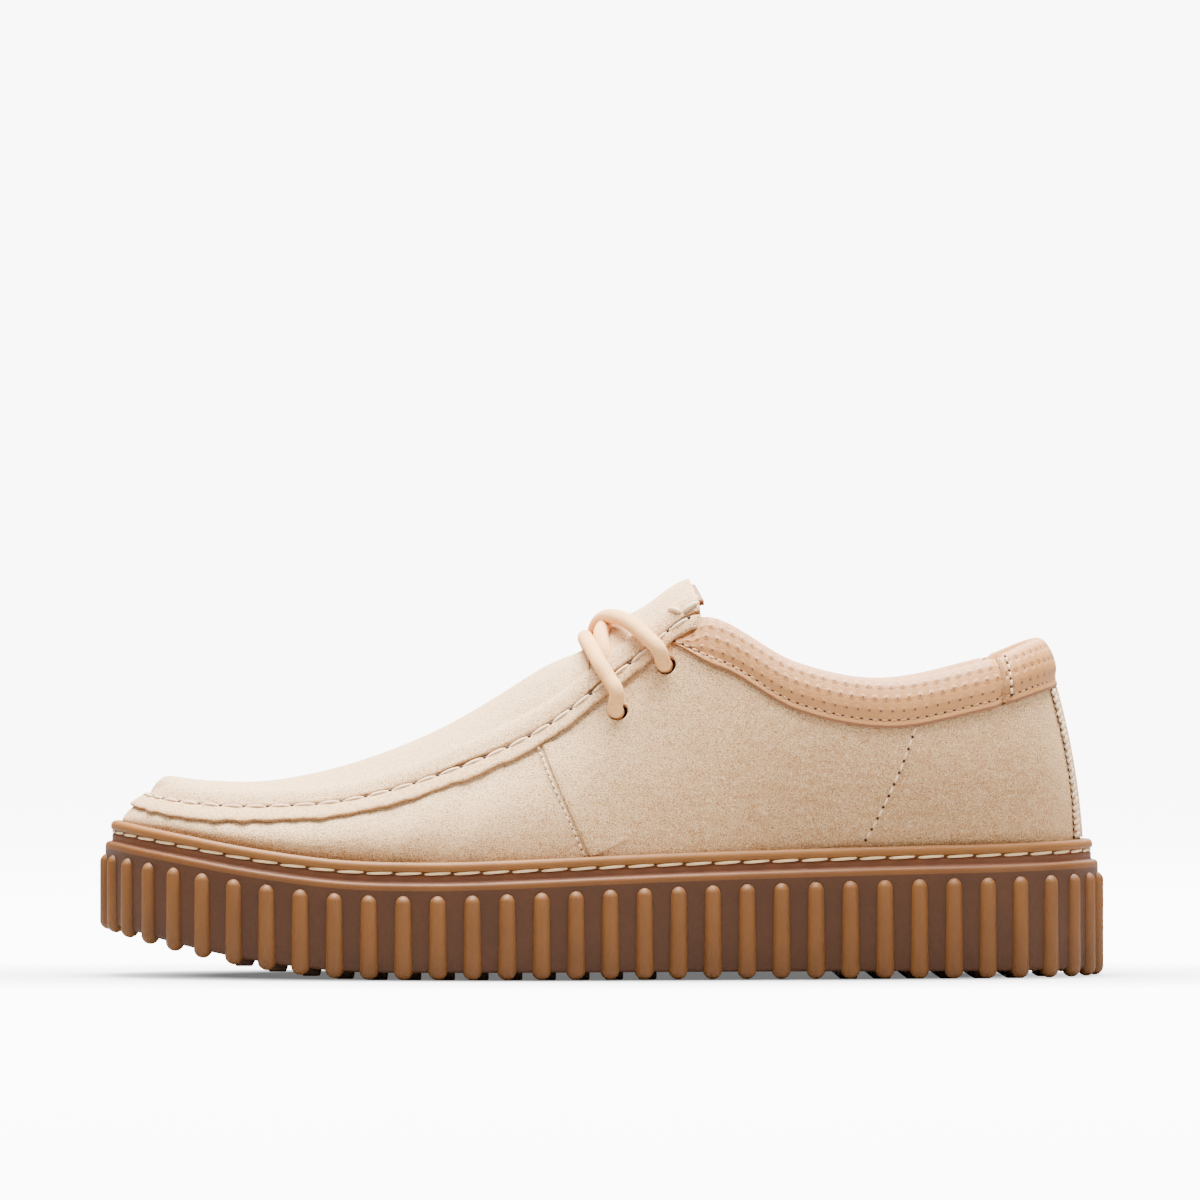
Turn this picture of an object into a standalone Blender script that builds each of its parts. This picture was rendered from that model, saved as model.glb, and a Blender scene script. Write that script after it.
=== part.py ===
"""Moc-toe lace-up shoe on a ribbed cupsole: the solids of one left shoe.

Metres, +Z up. The toe points to -X and the outer side faces -Y. The origin lies
on the floor plane, at the middle of the heel's centre lug.

Two closed curves drive the shoe: the sole's outline, seen from above, and the
topline, which is the moc seam round the apron and the collar's rim behind it.
Both have the same stations, numbered from the toe tip (0) along the outer side
to the heel (13) and back along the inner side, so that a wall is drawn between
points with the same number.
"""
import math

import bmesh
import bpy
from mathutils import Matrix, Vector

# Overall sizes
MM = 0.001
SOLE_LENGTH = 303.0 * MM
BALL_WIDTH = 111.0 * MM
HEEL_THICKNESS = 40.0 * MM
TOE_SPRING = 14.0 * MM
COLLAR_HEIGHT = 102.0 * MM
HEEL_LUG_SHARE = 0.84
UPPER_RISE = COLLAR_HEIGHT - HEEL_THICKNESS
FIT_GAP = 0.3 * MM
INSOLE_MARGIN = 0.9 * MM
COLLAR_JOINT_TRIM = 0.18 * MM
STRAP_TRIM = 0.6 * MM
CURVE_WELD = 0.01 * MM

# Sole
RIB_PROUD = 1.9 * MM
RIB_WIDTH = 5.4 * MM
RIB_PITCH = 10.3 * MM
RIB_FLOOR_GAP = 0.25 * MM
RIB_TOP_DROP = 3.4 * MM
TREAD_DEPTH = 2.4 * MM
WALL_FOOT_ROUND = 1.6 * MM
LIP_PROUD = 0.6 * MM
LIP_THICKNESS = 1.3 * MM
LIP_EDGE_SHARES = (0.7, 0.3)
LIP_TOP_SLOPE = 0.2
RIM_SLOPE = 0.3
BAND_INSET = 1.5 * MM
GROOVE_DEPTH = 0.7 * MM
GROOVE_HALF = 0.8 * MM
GROOVE_DROP = 3.3 * MM
LIP_DROP = 6.4 * MM
BEAD_INSET = 1.1 * MM
BEAD_ROUND = 1.5 * MM
RIM_WIDTH = 5.0 * MM
SEAT_DEPTH = 5.0 * MM
SPRING_END = 0.28
SPRING_POWER = 1.8
LUG_LENGTH = 5.4 * MM
LUG_PITCH = 10.0 * MM
LUG_CHANNEL = 4.0 * MM
LUG_CENTRE_HALF = 12.0 * MM
LUG_MARGIN = 8.0 * MM
LUG_ROOT = 1.2 * MM
LUG_FORWARD_ROWS = (9, 22)
LUG_HEEL_ROWS = (-3, 4)

# Upper
UPPER_WALL = 2.0 * MM
LEG_INNER_WIDTH = 6.5 * MM
SHOULDER_WIDTH = 2.6 * MM
SHOULDER_SHARE = 0.62
THROAT_BOW = 3.0 * MM
THROAT_DIP = 3.2 * MM
SEAM_LIP_WIDTH = 4.0 * MM
SEAM_LIP_THICKNESS = 1.8 * MM
SEAM_LIP_GAP = 0.8 * MM
SEAM_LIP_ROUND = 0.8
SEAM_LIP_BROW = 0.3
EYELET_DIAMETER = 4.4 * MM
COLLAR_BAND_HEIGHT = 14.5 * MM
COLLAR_PROUD = 1.0 * MM
COLLAR_PUFF = 2.6 * MM
COLLAR_INNER = 5.6 * MM
COLLAR_FRONT_FULLNESS = 0.35
COLLAR_SECTION = (
    # share of the band's height, share of the puff outside, share of the depth inside
    (0.30, 1.00, 0.0),
    (0.70, 0.85, 0.0),
    (0.97, 0.10, 0.0),
    (0.97, 0.00, 0.6),
    (0.60, 0.00, 1.0),
    (0.00, 0.00, 1.0),
)
HEEL_STRIP_COLUMNS = 3
HEEL_STRIP_THICKNESS = 1.0 * MM
HEEL_STRIP_EDGE = 0.7

# Tongue, insole and lace
TONGUE_THICKNESS = 3.0 * MM
TONGUE_GAP = 0.7 * MM
INSOLE_THICKNESS = 5.0 * MM
INSOLE_CHAMFER = 1.0 * MM
LACE_DIAMETER = 4.4 * MM

# Stations of the sole's outline, as shares of the sole's length and of the ball's width
SOLE_OUTLINE = (
    # along, outer, inner
    (0.000, 0.075, 0.075),
    (0.022, -0.140, 0.220),
    (0.085, -0.318, 0.358),
    (0.165, -0.410, 0.435),
    (0.250, -0.453, 0.480),
    (0.345, -0.482, 0.495),
    (0.440, -0.468, 0.448),
    (0.530, -0.432, 0.390),
    (0.605, -0.402, 0.352),
    (0.695, -0.378, 0.338),
    (0.790, -0.370, 0.348),
    (0.885, -0.353, 0.345),
    (0.962, -0.250, 0.252),
    (1.000, 0.000, 0.000),
)

# Stations of the topline, as shares of the sole's length and the ball's width, and its height over
# the sole as a share of the upper's rise
TOPLINE = (
    # along, outer, inner, height
    (0.050, 0.085, 0.085, 0.112),
    (0.066, -0.085, 0.215, 0.110),
    (0.114, -0.195, 0.298, 0.134),
    (0.175, -0.255, 0.330, 0.195),
    (0.255, -0.285, 0.330, 0.276),
    (0.345, -0.285, 0.305, 0.411),
    (0.440, -0.258, 0.268, 0.606),
    (0.530, -0.232, 0.238, 0.920),
    (0.600, -0.235, 0.240, 1.136),
    (0.690, -0.282, 0.277, 0.908),
    (0.780, -0.302, 0.297, 0.814),
    (0.870, -0.275, 0.277, 0.888),
    (0.920, -0.168, 0.172, 0.966),
    (0.934, 0.000, 0.000, 0.986),
)

# Heights and swell at the same stations
STATION_FORM = (
    # sole thickness as a share of the heel's; wall swell as a share of the ball's width;
    # rise of the apron's shoulder and of its crown as shares of the upper's rise
    (0.815, 0.012, 0.090, 0.000),
    (0.840, 0.016, 0.097, 0.025),
    (0.878, 0.028, 0.094, 0.032),
    (0.888, 0.036, 0.090, 0.045),
    (0.882, 0.040, 0.100, 0.086),
    (0.878, 0.040, 0.118, 0.116),
    (0.902, 0.036, 0.129, 0.176),
    (0.930, 0.030, 0.132, 0.139),
    (0.950, 0.030, 0.110, 0.102),
    (0.970, 0.036, 0.098, 0.082),
    (0.990, 0.040, 0.098, 0.082),
    (1.005, 0.044, 0.098, 0.082),
    (1.022, 0.034, 0.098, 0.082),
    (1.030, 0.020, 0.098, 0.082),
)

SIDE_STATIONS = len(SOLE_OUTLINE) - 1
RING_STATIONS = 2 * SIDE_STATIONS
COLUMNS_PER_STATION = 4
WALL_ROWS = 4
CROWN_COLUMNS = 6
THROAT_STATION = 6.5
LEG_END_STATION = 7.5
BAND_START_STATION = 7.75
BAND_FULL_STATION = 8.5
COLLAR_SEAM_STATION = 11.4
TONGUE_ROOT_STATION = 5.75
TONGUE_TOP_STATION = 7.9
DIP_STATION = 6.5
DIP_REACH = 0.3
EYELETS = (
    # station, rise; the same on both sides
    (6.86, 0.83),
    (7.48, 0.90),
)

# Routes of the lace's middle from the outer side: shares of the sole's length and the ball's
# width, and its height over the throat's sole as a share of the upper's rise
ROUTE_STEPS = 2
LACE_FRONT_BAR = (
    # along, side, height
    (0.5152, -0.3081, 0.7506),
    (0.5067, -0.2847, 0.8377),
    (0.4961, -0.2396, 0.9281),
    (0.4875, -0.1423, 1.0103),
    (0.4836, 0.0000, 1.0474),
    (0.4875, 0.1423, 1.0103),
    (0.4961, 0.2396, 0.9281),
    (0.5067, 0.2901, 0.8420),
    (0.5152, 0.3081, 0.7506),
)
LACE_CROSS = (
    # along, side, height of the outer strand; the inner one is its mirror image
    (0.5608, -0.2919, 0.9958),
    (0.5489, -0.2590, 1.0760),
    (0.5311, -0.1892, 1.1216),
    (0.5146, -0.0811, 1.1603),
    (0.5017, 0.0360, 1.1474),
)

COLOURS = {
    # red, green, blue, roughness
    "outsole": (0.40, 0.20, 0.09, 0.45),
    "insole": (0.62, 0.47, 0.33, 0.80),
    "upper": (0.66, 0.55, 0.44, 0.90),
    "moc_seam_lip": (0.70, 0.58, 0.46, 0.90),
    "collar_band_outer": (0.80, 0.55, 0.38, 0.55),
    "collar_band_back": (0.80, 0.55, 0.38, 0.55),
    "collar_band_inner": (0.80, 0.55, 0.38, 0.55),
    "heel_seam_strip": (0.62, 0.52, 0.38, 0.90),
    "tongue": (0.64, 0.53, 0.42, 0.90),
    "lace_front_bar": (0.72, 0.62, 0.50, 0.90),
    "lace_cross": (0.72, 0.62, 0.50, 0.90),
}


def ring_value(values, station):
    """Smooth closed curve through one value a station (Catmull-Rom)."""
    index = math.floor(station)
    t = station - index
    before, start, end, after = (values[(index + k) % len(values)] for k in (-1, 0, 1, 2))
    return 0.5 * (
        2.0 * start
        + (end - before) * t
        + (2.0 * before - 5.0 * start + 4.0 * end - after) * t * t
        + (3.0 * start - before - 3.0 * end + after) * t ** 3
    )


def around(table, outer_column, inner_column):
    """Column of a side table taken from the toe along the outer side and back along the inner."""
    outer = [row[outer_column] for row in table]
    inner = [row[inner_column] for row in reversed(table[1:-1])]
    return outer + inner


def along_to_x(share, length=SOLE_LENGTH):
    """X of a share of the length, measured from the toe."""
    return (share - 0.5) * length + (0.5 - HEEL_LUG_SHARE) * SOLE_LENGTH


WALL_LENGTH = SOLE_LENGTH - 2.0 * RIB_PROUD
WALL_WIDTH = BALL_WIDTH - 2.0 * RIB_PROUD
OUTLINE_RING = [
    Vector((along_to_x(along, WALL_LENGTH), side * WALL_WIDTH, 0.0))
    for along, side in zip(around(SOLE_OUTLINE, 0, 0), around(SOLE_OUTLINE, 1, 2))
]
THICKNESS_RING = [share * HEEL_THICKNESS for share in around(STATION_FORM, 0, 0)]
SWELL_RING = [share * BALL_WIDTH for share in around(STATION_FORM, 1, 1)]
SHOULDER_RING = [share * UPPER_RISE for share in around(STATION_FORM, 2, 2)]
CROWN_RING = [share * UPPER_RISE for share in around(STATION_FORM, 3, 3)]


def outward(ring, station):
    """Level unit vector that points out of a closed curve at a station."""
    step = 0.02
    run = ring_value(ring, station + step) - ring_value(ring, station - step)
    return Vector((-run.y, run.x, 0.0)).normalized() * -1.0


def mirror_station(station):
    """The same distance from the toe on the other side."""
    return RING_STATIONS - station


def smooth_step(value, start, end):
    """0 before start, 1 after end, and a soft rise between."""
    t = min(max((value - start) / (end - start), 0.0), 1.0)
    return t * t * (3.0 - 2.0 * t)


def side_station(station):
    """Distance from the toe in stations, whichever the side."""
    station = station % RING_STATIONS
    return min(station, RING_STATIONS - station)


def floor_line(x):
    """Height of the tread's plane at x: flat, with the toe spring in front."""
    share = (x - along_to_x(0.0, WALL_LENGTH)) / WALL_LENGTH
    rise = max(0.0, 1.0 - share / SPRING_END)
    return TOE_SPRING * rise ** SPRING_POWER


def sole_top(station):
    """Height of the sole's rim."""
    x = ring_value(OUTLINE_RING, station).x
    return floor_line(x) + ring_value(THICKNESS_RING, station)


TOPLINE_RING = [
    Vector((along_to_x(along), side * BALL_WIDTH, sole_top(station) + height * UPPER_RISE))
    for station, (along, side, height) in enumerate(zip(
        around(TOPLINE, 0, 0), around(TOPLINE, 1, 2), around(TOPLINE, 3, 3)
    ))
]


def sole_point(station, inset, height):
    """Point of the sole's side, inset from its outline."""
    point = ring_value(OUTLINE_RING, station) - outward(OUTLINE_RING, station) * inset
    return Vector((point.x, point.y, height))


def seat_point(station):
    """Foot of the upper, in its seat inside the sole's rim."""
    return sole_point(station, RIM_WIDTH + FIT_GAP, sole_top(station) - SEAT_DEPTH + FIT_GAP)


def wall_height(station):
    """Height of the upper's wall from its foot to the topline."""
    return ring_value(TOPLINE_RING, station).z - seat_point(station).z


def seat_share(station):
    """Rise at which the wall comes out of the sole's rim."""
    return SEAT_DEPTH / wall_height(station)


def wall_surface(station, rise):
    """Outer face of the upper's wall: rise 0 at the seat and 1 at the topline."""
    foot = seat_point(station) + Vector((0.0, 0.0, SEAT_DEPTH))
    hidden = seat_share(station)
    free = (rise - hidden) / (1.0 - hidden)
    if free <= 0.0:
        return foot + Vector((0.0, 0.0, (rise - hidden) * wall_height(station)))
    swell = ring_value(SWELL_RING, station) * 4.0 * free * (1.0 - free)
    return foot.lerp(ring_value(TOPLINE_RING, station), free) + outward(OUTLINE_RING, station) * swell


def surface_normal(surface, station, rise, step=0.02):
    """Outward unit normal of a surface with a station and a rise."""
    run = surface(station + step, rise) - surface(station - step, rise)
    climb = surface(station, rise + step) - surface(station, rise - step)
    return climb.cross(run).normalized() * -1.0


def wall_point(station, rise, proud=0.0):
    """Point that stands proud of the upper's wall."""
    normal = surface_normal(wall_surface, station, rise)
    return wall_surface(station, rise) + normal * proud


def band_foot(station):
    """Rise at which the suede stops: the topline in front, the collar band's foot behind."""
    fade = smooth_step(side_station(station), LEG_END_STATION, BAND_FULL_STATION)
    return 1.0 - fade * COLLAR_BAND_HEIGHT / wall_height(station)


def wall_rises(station):
    """Rises of the wall's rows of faces, from the rim of the sole to the suede's top."""
    low, high = seat_share(station), band_foot(station)
    return [low + (high - low) * row / WALL_ROWS for row in range(WALL_ROWS + 1)]


def apron_ring(station, level):
    """Rings of the apron inside the seam: 0 the seam, 1 the shoulder, 2 the crown's foot."""
    seam = ring_value(TOPLINE_RING, station)
    inward = outward(TOPLINE_RING, station) * -1.0
    width = (0.0, SHOULDER_WIDTH, LEG_INNER_WIDTH)[level]
    climb = (0.0, SHOULDER_SHARE, 1.0)[level] * ring_value(SHOULDER_RING, station)
    return seam + inward * width + Vector((0.0, 0.0, climb))


def crown_point(station, across):
    """Crown between the two inner rings: across runs from -1 (outer) to 1 (inner)."""
    outer = apron_ring(station, 2)
    inner = apron_ring(mirror_station(station), 2)
    dip = THROAT_DIP * math.exp(-((station - DIP_STATION) / DIP_REACH) ** 2)
    dome = (ring_value(CROWN_RING, station) - dip) * (1.0 - across * across)
    return outer.lerp(inner, 0.5 + 0.5 * across) + Vector((0.0, 0.0, dome))


def station_range(start, end, per_station=COLUMNS_PER_STATION):
    """Even stations from start to end, both ends in."""
    count = max(1, round((end - start) * per_station))
    return [start + (end - start) * k / count for k in range(count + 1)]


def material_for(name):
    """The piece's own surface."""
    red, green, blue, roughness = COLOURS[name]
    material = bpy.data.materials.new(name)
    material.use_nodes = True
    shader = material.node_tree.nodes["Principled BSDF"]
    shader.inputs["Base Color"].default_value = (red, green, blue, 1.0)
    shader.inputs["Roughness"].default_value = roughness
    shader.inputs["Metallic"].default_value = 0.0
    return material


def make_object(name, mesh_builder, collection):
    """Object from a bmesh, with its normals made consistent."""
    bmesh.ops.recalc_face_normals(mesh_builder, faces=mesh_builder.faces)
    mesh = bpy.data.meshes.new(name)
    mesh_builder.to_mesh(mesh)
    mesh_builder.free()
    thing = bpy.data.objects.new(name, mesh)
    collection.objects.link(thing)
    if name in COLOURS:
        mesh.materials.append(material_for(name))
    return thing


def skin_rows(mesh_builder, rows, closed=False):
    """Quads between neighbouring rows of vertices."""
    for low, high in zip(rows, rows[1:]):
        count = len(low) if closed else len(low) - 1
        for k in range(count):
            n = (k + 1) % len(low)
            mesh_builder.faces.new((low[k], low[n], high[n], high[k]))


def add_row(mesh_builder, points):
    """Vertices at a row of points."""
    return [mesh_builder.verts.new(point) for point in points]


def ladder(mesh_builder, ring):
    """Close a ring by rungs from its outer to its inner side."""
    half = len(ring) // 2
    mesh_builder.faces.new((ring[0], ring[1], ring[-1]))
    mesh_builder.faces.new((ring[half], ring[half + 1], ring[half - 1]))
    for k in range(1, half - 1):
        mesh_builder.faces.new((ring[k], ring[k + 1], ring[-k - 1], ring[-k]))


def loft(name, sections, collection):
    """Closed solid through a list of section loops, with flat ends."""
    shape = bmesh.new()
    rows = [add_row(shape, section) for section in sections]
    skin_rows(shape, rows, closed=True)
    shape.faces.new(rows[0])
    shape.faces.new(rows[-1])
    return make_object(name, shape, collection)


def apply_boolean(target, cutter, operation):
    """Join or cut with another object, which stays as a guide."""
    change = target.modifiers.new(operation.title(), "BOOLEAN")
    change.object = cutter
    change.operation = operation
    change.solver = "EXACT"
    cutter.hide_render = True
    cutter.display_type = "WIRE"


def outsole_profile(station):
    """Side of the sole from its underside to the seat of the upper: inset and height."""
    x = ring_value(OUTLINE_RING, station).x
    foot = floor_line(x) + TREAD_DEPTH
    top = sole_top(station)
    lip = top - LIP_DROP
    groove = top - GROOVE_DROP
    return (
        (WALL_FOOT_ROUND, foot),
        (0.0, foot + WALL_FOOT_ROUND),
        (0.0, lip - LIP_THICKNESS),
        (-LIP_PROUD, lip - LIP_EDGE_SHARES[0] * LIP_THICKNESS),
        (-LIP_PROUD, lip - LIP_EDGE_SHARES[1] * LIP_THICKNESS),
        (BAND_INSET, lip + LIP_TOP_SLOPE * LIP_THICKNESS),
        (BAND_INSET, groove - GROOVE_HALF),
        (BAND_INSET + GROOVE_DEPTH, groove),
        (BEAD_INSET, groove + GROOVE_HALF),
        (BEAD_INSET, top - BEAD_ROUND),
        (BEAD_INSET + BEAD_ROUND, top),
        (RIM_WIDTH, top - RIM_SLOPE * BEAD_ROUND),
        (RIM_WIDTH, top - SEAT_DEPTH),
    )


def build_ribs(collection):
    """Vertical ribs round the whole sole, an even pitch along its outline."""
    samples = station_range(0.0, RING_STATIONS, 40)
    lengths = [0.0]
    for start, end in zip(samples, samples[1:]):
        lengths.append(lengths[-1] + (ring_value(OUTLINE_RING, end) - ring_value(OUTLINE_RING, start)).length)
    count = round(lengths[-1] / RIB_PITCH)
    shape = bmesh.new()
    k = 0
    for number in range(count):
        wanted = (number + 0.5) * lengths[-1] / count
        while lengths[k + 1] < wanted:
            k += 1
        share = (wanted - lengths[k]) / (lengths[k + 1] - lengths[k])
        station = samples[k] + share * (samples[k + 1] - samples[k])
        axis = sole_point(station, 0.5 * RIB_WIDTH - RIB_PROUD, 0.0)
        low = floor_line(axis.x) + RIB_FLOOR_GAP + 0.5 * RIB_WIDTH
        high = sole_top(station) - LIP_DROP - RIB_TOP_DROP - 0.5 * RIB_WIDTH
        direction = outward(OUTLINE_RING, station)
        turn = Matrix.Rotation(math.atan2(direction.y, direction.x), 4, "Z")
        made = bmesh.ops.create_uvsphere(
            shape, u_segments=8, v_segments=3, radius=0.5 * RIB_WIDTH, matrix=turn
        )
        for vert in made["verts"]:
            height = high if vert.co.z > 0.0 else low
            vert.co = Vector((axis.x + vert.co.x, axis.y + vert.co.y, height + vert.co.z))
    return make_object("rib_guide", shape, collection)


def add_block(shape, low, high):
    """Upright box between two corners."""
    centre = (low + high) * 0.5
    size = high - low
    place = Matrix.Translation(centre) @ Matrix.Diagonal((size.x, size.y, size.z, 1.0))
    bmesh.ops.create_cube(shape, size=1.0, matrix=place)


def sole_sides(x):
    """The sole's outer and inner Y at x, read along its outline."""
    sides = []
    outer = station_range(0.0, SIDE_STATIONS, 2 * COLUMNS_PER_STATION)
    for span in (outer, [mirror_station(station) for station in outer]):
        points = [ring_value(OUTLINE_RING, station) for station in span]
        for start, end in zip(points, points[1:]):
            if start.x <= x <= end.x:
                t = (x - start.x) / (end.x - start.x)
                sides.append(start.y + t * (end.y - start.y))
                break
    return sides


def build_lugs(collection):
    """Rows of flat lugs under the forefoot and the heel."""
    shape = bmesh.new()
    rows = list(range(*LUG_HEEL_ROWS)) + [-row for row in range(*LUG_FORWARD_ROWS)]
    for row in rows:
        x = row * LUG_PITCH
        outer, inner = sole_sides(x)
        floor = floor_line(x)
        top = floor_line(x - 0.5 * LUG_LENGTH) + TREAD_DEPTH + LUG_ROOT
        bands = (
            (outer + LUG_MARGIN, -LUG_CENTRE_HALF - LUG_CHANNEL),
            (-LUG_CENTRE_HALF, LUG_CENTRE_HALF),
            (LUG_CENTRE_HALF + LUG_CHANNEL, inner - LUG_MARGIN),
        )
        for start, end in bands:
            if end - start > LUG_LENGTH:
                low = Vector((x - 0.5 * LUG_LENGTH, start, floor))
                high = Vector((x + 0.5 * LUG_LENGTH, end, top))
                add_block(shape, low, high)
    return make_object("lug_guide", shape, collection)


def build_outsole(parts, guides):
    """Cupsole with its stepped side, ribs and lugs."""
    shape = bmesh.new()
    stations = station_range(0.0, RING_STATIONS)[:-1]
    profiles = [outsole_profile(station) for station in stations]
    rings = []
    for level in range(len(profiles[0])):
        points = [sole_point(s, *profile[level]) for s, profile in zip(stations, profiles)]
        rings.append(add_row(shape, points))
    skin_rows(shape, rings, closed=True)
    ladder(shape, rings[0])
    ladder(shape, rings[-1])
    sole = make_object("outsole", shape, parts)
    apply_boolean(sole, build_ribs(guides), "UNION")
    apply_boolean(sole, build_lugs(guides), "UNION")
    return sole


def build_insole(parts):
    """Footbed that fills the seat inside the upper."""
    shape = bmesh.new()
    stations = station_range(0.0, RING_STATIONS)[:-1]
    edge = RIM_WIDTH + FIT_GAP + UPPER_WALL + INSOLE_MARGIN
    levels = (
        (edge, 0.0),
        (edge, INSOLE_THICKNESS - INSOLE_CHAMFER),
        (edge + INSOLE_CHAMFER, INSOLE_THICKNESS),
    )
    rings = []
    for inset, lift in levels:
        points = [
            sole_point(s, inset, sole_top(s) - SEAT_DEPTH + FIT_GAP + lift) for s in stations
        ]
        rings.append(add_row(shape, points))
    skin_rows(shape, rings, closed=True)
    ladder(shape, rings[0])
    ladder(shape, rings[-1])
    return make_object("insole", shape, parts)


def eyelet_place(station, rise):
    """Middle of an eyelet and the direction of its hole."""
    return wall_surface(station, rise), surface_normal(wall_surface, station, rise)


def build_eyelet_cutter(guides):
    """Round punches through the upper's wall."""
    shape = bmesh.new()
    places = [(s, rise) for station, rise in EYELETS for s in (station, mirror_station(station))]
    for station, rise in places:
        centre, normal = eyelet_place(station, rise)
        turn = Vector((0.0, 0.0, 1.0)).rotation_difference(normal).to_matrix().to_4x4()
        bmesh.ops.create_cone(
            shape, cap_ends=True, segments=12, radius1=0.5 * EYELET_DIAMETER,
            radius2=0.5 * EYELET_DIAMETER, depth=5.0 * UPPER_WALL,
            matrix=Matrix.Translation(centre) @ turn,
        )
    return make_object("eyelet_guide", shape, guides)


def build_upper(parts, guides):
    """Hollow upper: walls, apron and the legs beside the throat, open below and above."""
    shape = bmesh.new()
    stations = station_range(0.0, RING_STATIONS)[:-1]
    rings = [add_row(shape, [seat_point(s) for s in stations])]
    for row in range(WALL_ROWS + 1):
        rings.append(add_row(shape, [wall_surface(s, wall_rises(s)[row]) for s in stations]))
    skin_rows(shape, rings, closed=True)
    seam = dict(zip((round(s, 3) for s in stations), rings[-1]))
    legs = station_range(-LEG_END_STATION, LEG_END_STATION)
    seam_row = [seam[round(s % RING_STATIONS, 3)] for s in legs]
    shoulder_row = add_row(shape, [apron_ring(s, 1) for s in legs])
    inner_row = add_row(shape, [apron_ring(s, 2) for s in legs])
    skin_rows(shape, (seam_row, shoulder_row, inner_row))
    middle = len(legs) // 2
    rungs = station_range(0.0, THROAT_STATION)[1:]
    rows = []
    for k, station in enumerate(rungs, start=1):
        bow = THROAT_BOW * smooth_step(station, THROAT_STATION - 1.0, THROAT_STATION)
        inner_points = []
        for column in range(1, CROWN_COLUMNS):
            across = 2.0 * column / CROWN_COLUMNS - 1.0
            point = crown_point(station, across)
            point.x -= bow * (1.0 - across * across)
            inner_points.append(point)
        row = [inner_row[middle + k]] + add_row(shape, inner_points) + [inner_row[middle - k]]
        rows.append(row)
    tip = inner_row[middle]
    for start, end in zip(rows[0], rows[0][1:]):
        shape.faces.new((tip, start, end))
    skin_rows(shape, rows)
    upper = make_object("upper", shape, parts)
    wall = upper.modifiers.new("Wall", "SOLIDIFY")
    wall.thickness = UPPER_WALL
    wall.offset = -1.0
    wall.use_even_offset = True
    apply_boolean(upper, build_eyelet_cutter(guides), "DIFFERENCE")
    return upper


def build_seam_lip(parts):
    """Raised lip of the side wall that is sewn up against the apron."""
    sections = []
    end = LEG_END_STATION
    for station in station_range(-end, end):
        foot = band_foot(station)
        height = wall_height(station)
        drop = SEAM_LIP_WIDTH / height
        high = foot - FIT_GAP / height
        sections.append([
            wall_point(station, high, SEAM_LIP_GAP),
            wall_point(station, high, SEAM_LIP_ROUND * SEAM_LIP_THICKNESS),
            wall_point(station, high - SEAM_LIP_BROW * drop, SEAM_LIP_THICKNESS),
            wall_point(station, high - drop, SEAM_LIP_THICKNESS),
            wall_point(station, high - drop, SEAM_LIP_GAP),
        ])
    return loft("moc_seam_lip", sections, parts)


def collar_section(station):
    """Padded collar across its length: outer face, rolled rim, and lining face."""
    height = wall_height(station)
    foot = band_foot(station) + FIT_GAP / height
    tall = 1.0 - foot
    full = smooth_step(side_station(station), BAND_START_STATION - 0.5, BAND_FULL_STATION + 0.5)
    puff = COLLAR_PUFF * (COLLAR_FRONT_FULLNESS + (1.0 - COLLAR_FRONT_FULLNESS) * full)
    depth = UPPER_WALL + (COLLAR_INNER - UPPER_WALL) * full
    section = [wall_point(station, foot, COLLAR_PROUD)]
    for share, outside, inside in COLLAR_SECTION:
        section.append(wall_point(station, foot + share * tall, outside * puff - inside * depth))
    return section


def build_collar(parts):
    """Collar band in three pieces, with a seam each side of the heel."""
    spans = {
        "collar_band_outer": (BAND_START_STATION, COLLAR_SEAM_STATION),
        "collar_band_back": (COLLAR_SEAM_STATION, mirror_station(COLLAR_SEAM_STATION)),
        "collar_band_inner": (mirror_station(COLLAR_SEAM_STATION), mirror_station(BAND_START_STATION)),
    }
    station_length = (
        ring_value(TOPLINE_RING, COLLAR_SEAM_STATION + 0.5)
        - ring_value(TOPLINE_RING, COLLAR_SEAM_STATION - 0.5)
    ).length
    trim = COLLAR_JOINT_TRIM / station_length
    for name, (start, end) in spans.items():
        stations = station_range(start + trim, end - trim)
        loft(name, [collar_section(s) for s in stations], parts)


def build_heel_strip(parts):
    """Strap round the back of the heel, over the seam, on the wall's own columns."""
    heel = float(SIDE_STATIONS)
    reach = HEEL_STRIP_COLUMNS / COLUMNS_PER_STATION
    stations = station_range(heel - reach, heel + reach)
    trim = STRAP_TRIM / wall_height(heel)
    sections = []
    for row in range(WALL_ROWS + 1):
        side = trim if row == 0 else -trim if row == WALL_ROWS else 0.0
        rises = [wall_rises(station)[row] + side for station in stations]
        outer = []
        for station, rise in zip(stations, rises):
            edge = HEEL_STRIP_EDGE if station in (stations[0], stations[-1]) else 1.0
            outer.append(wall_point(station, rise, FIT_GAP + edge * HEEL_STRIP_THICKNESS))
        inner = [wall_point(station, rise, FIT_GAP) for station, rise in zip(stations, rises)]
        sections.append(outer + inner[::-1])
    return loft("heel_seam_strip", sections, parts)


def tongue_surface(station, across):
    """Arched sheet under the apron and the legs."""
    drop = UPPER_WALL + TONGUE_GAP
    step = 0.02
    run = crown_point(station + step, across) - crown_point(station - step, across)
    side = crown_point(station, across + step) - crown_point(station, across - step)
    normal = run.cross(side).normalized()
    if normal.z < 0.0:
        normal.negate()
    return crown_point(station, across) - normal * drop


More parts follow.
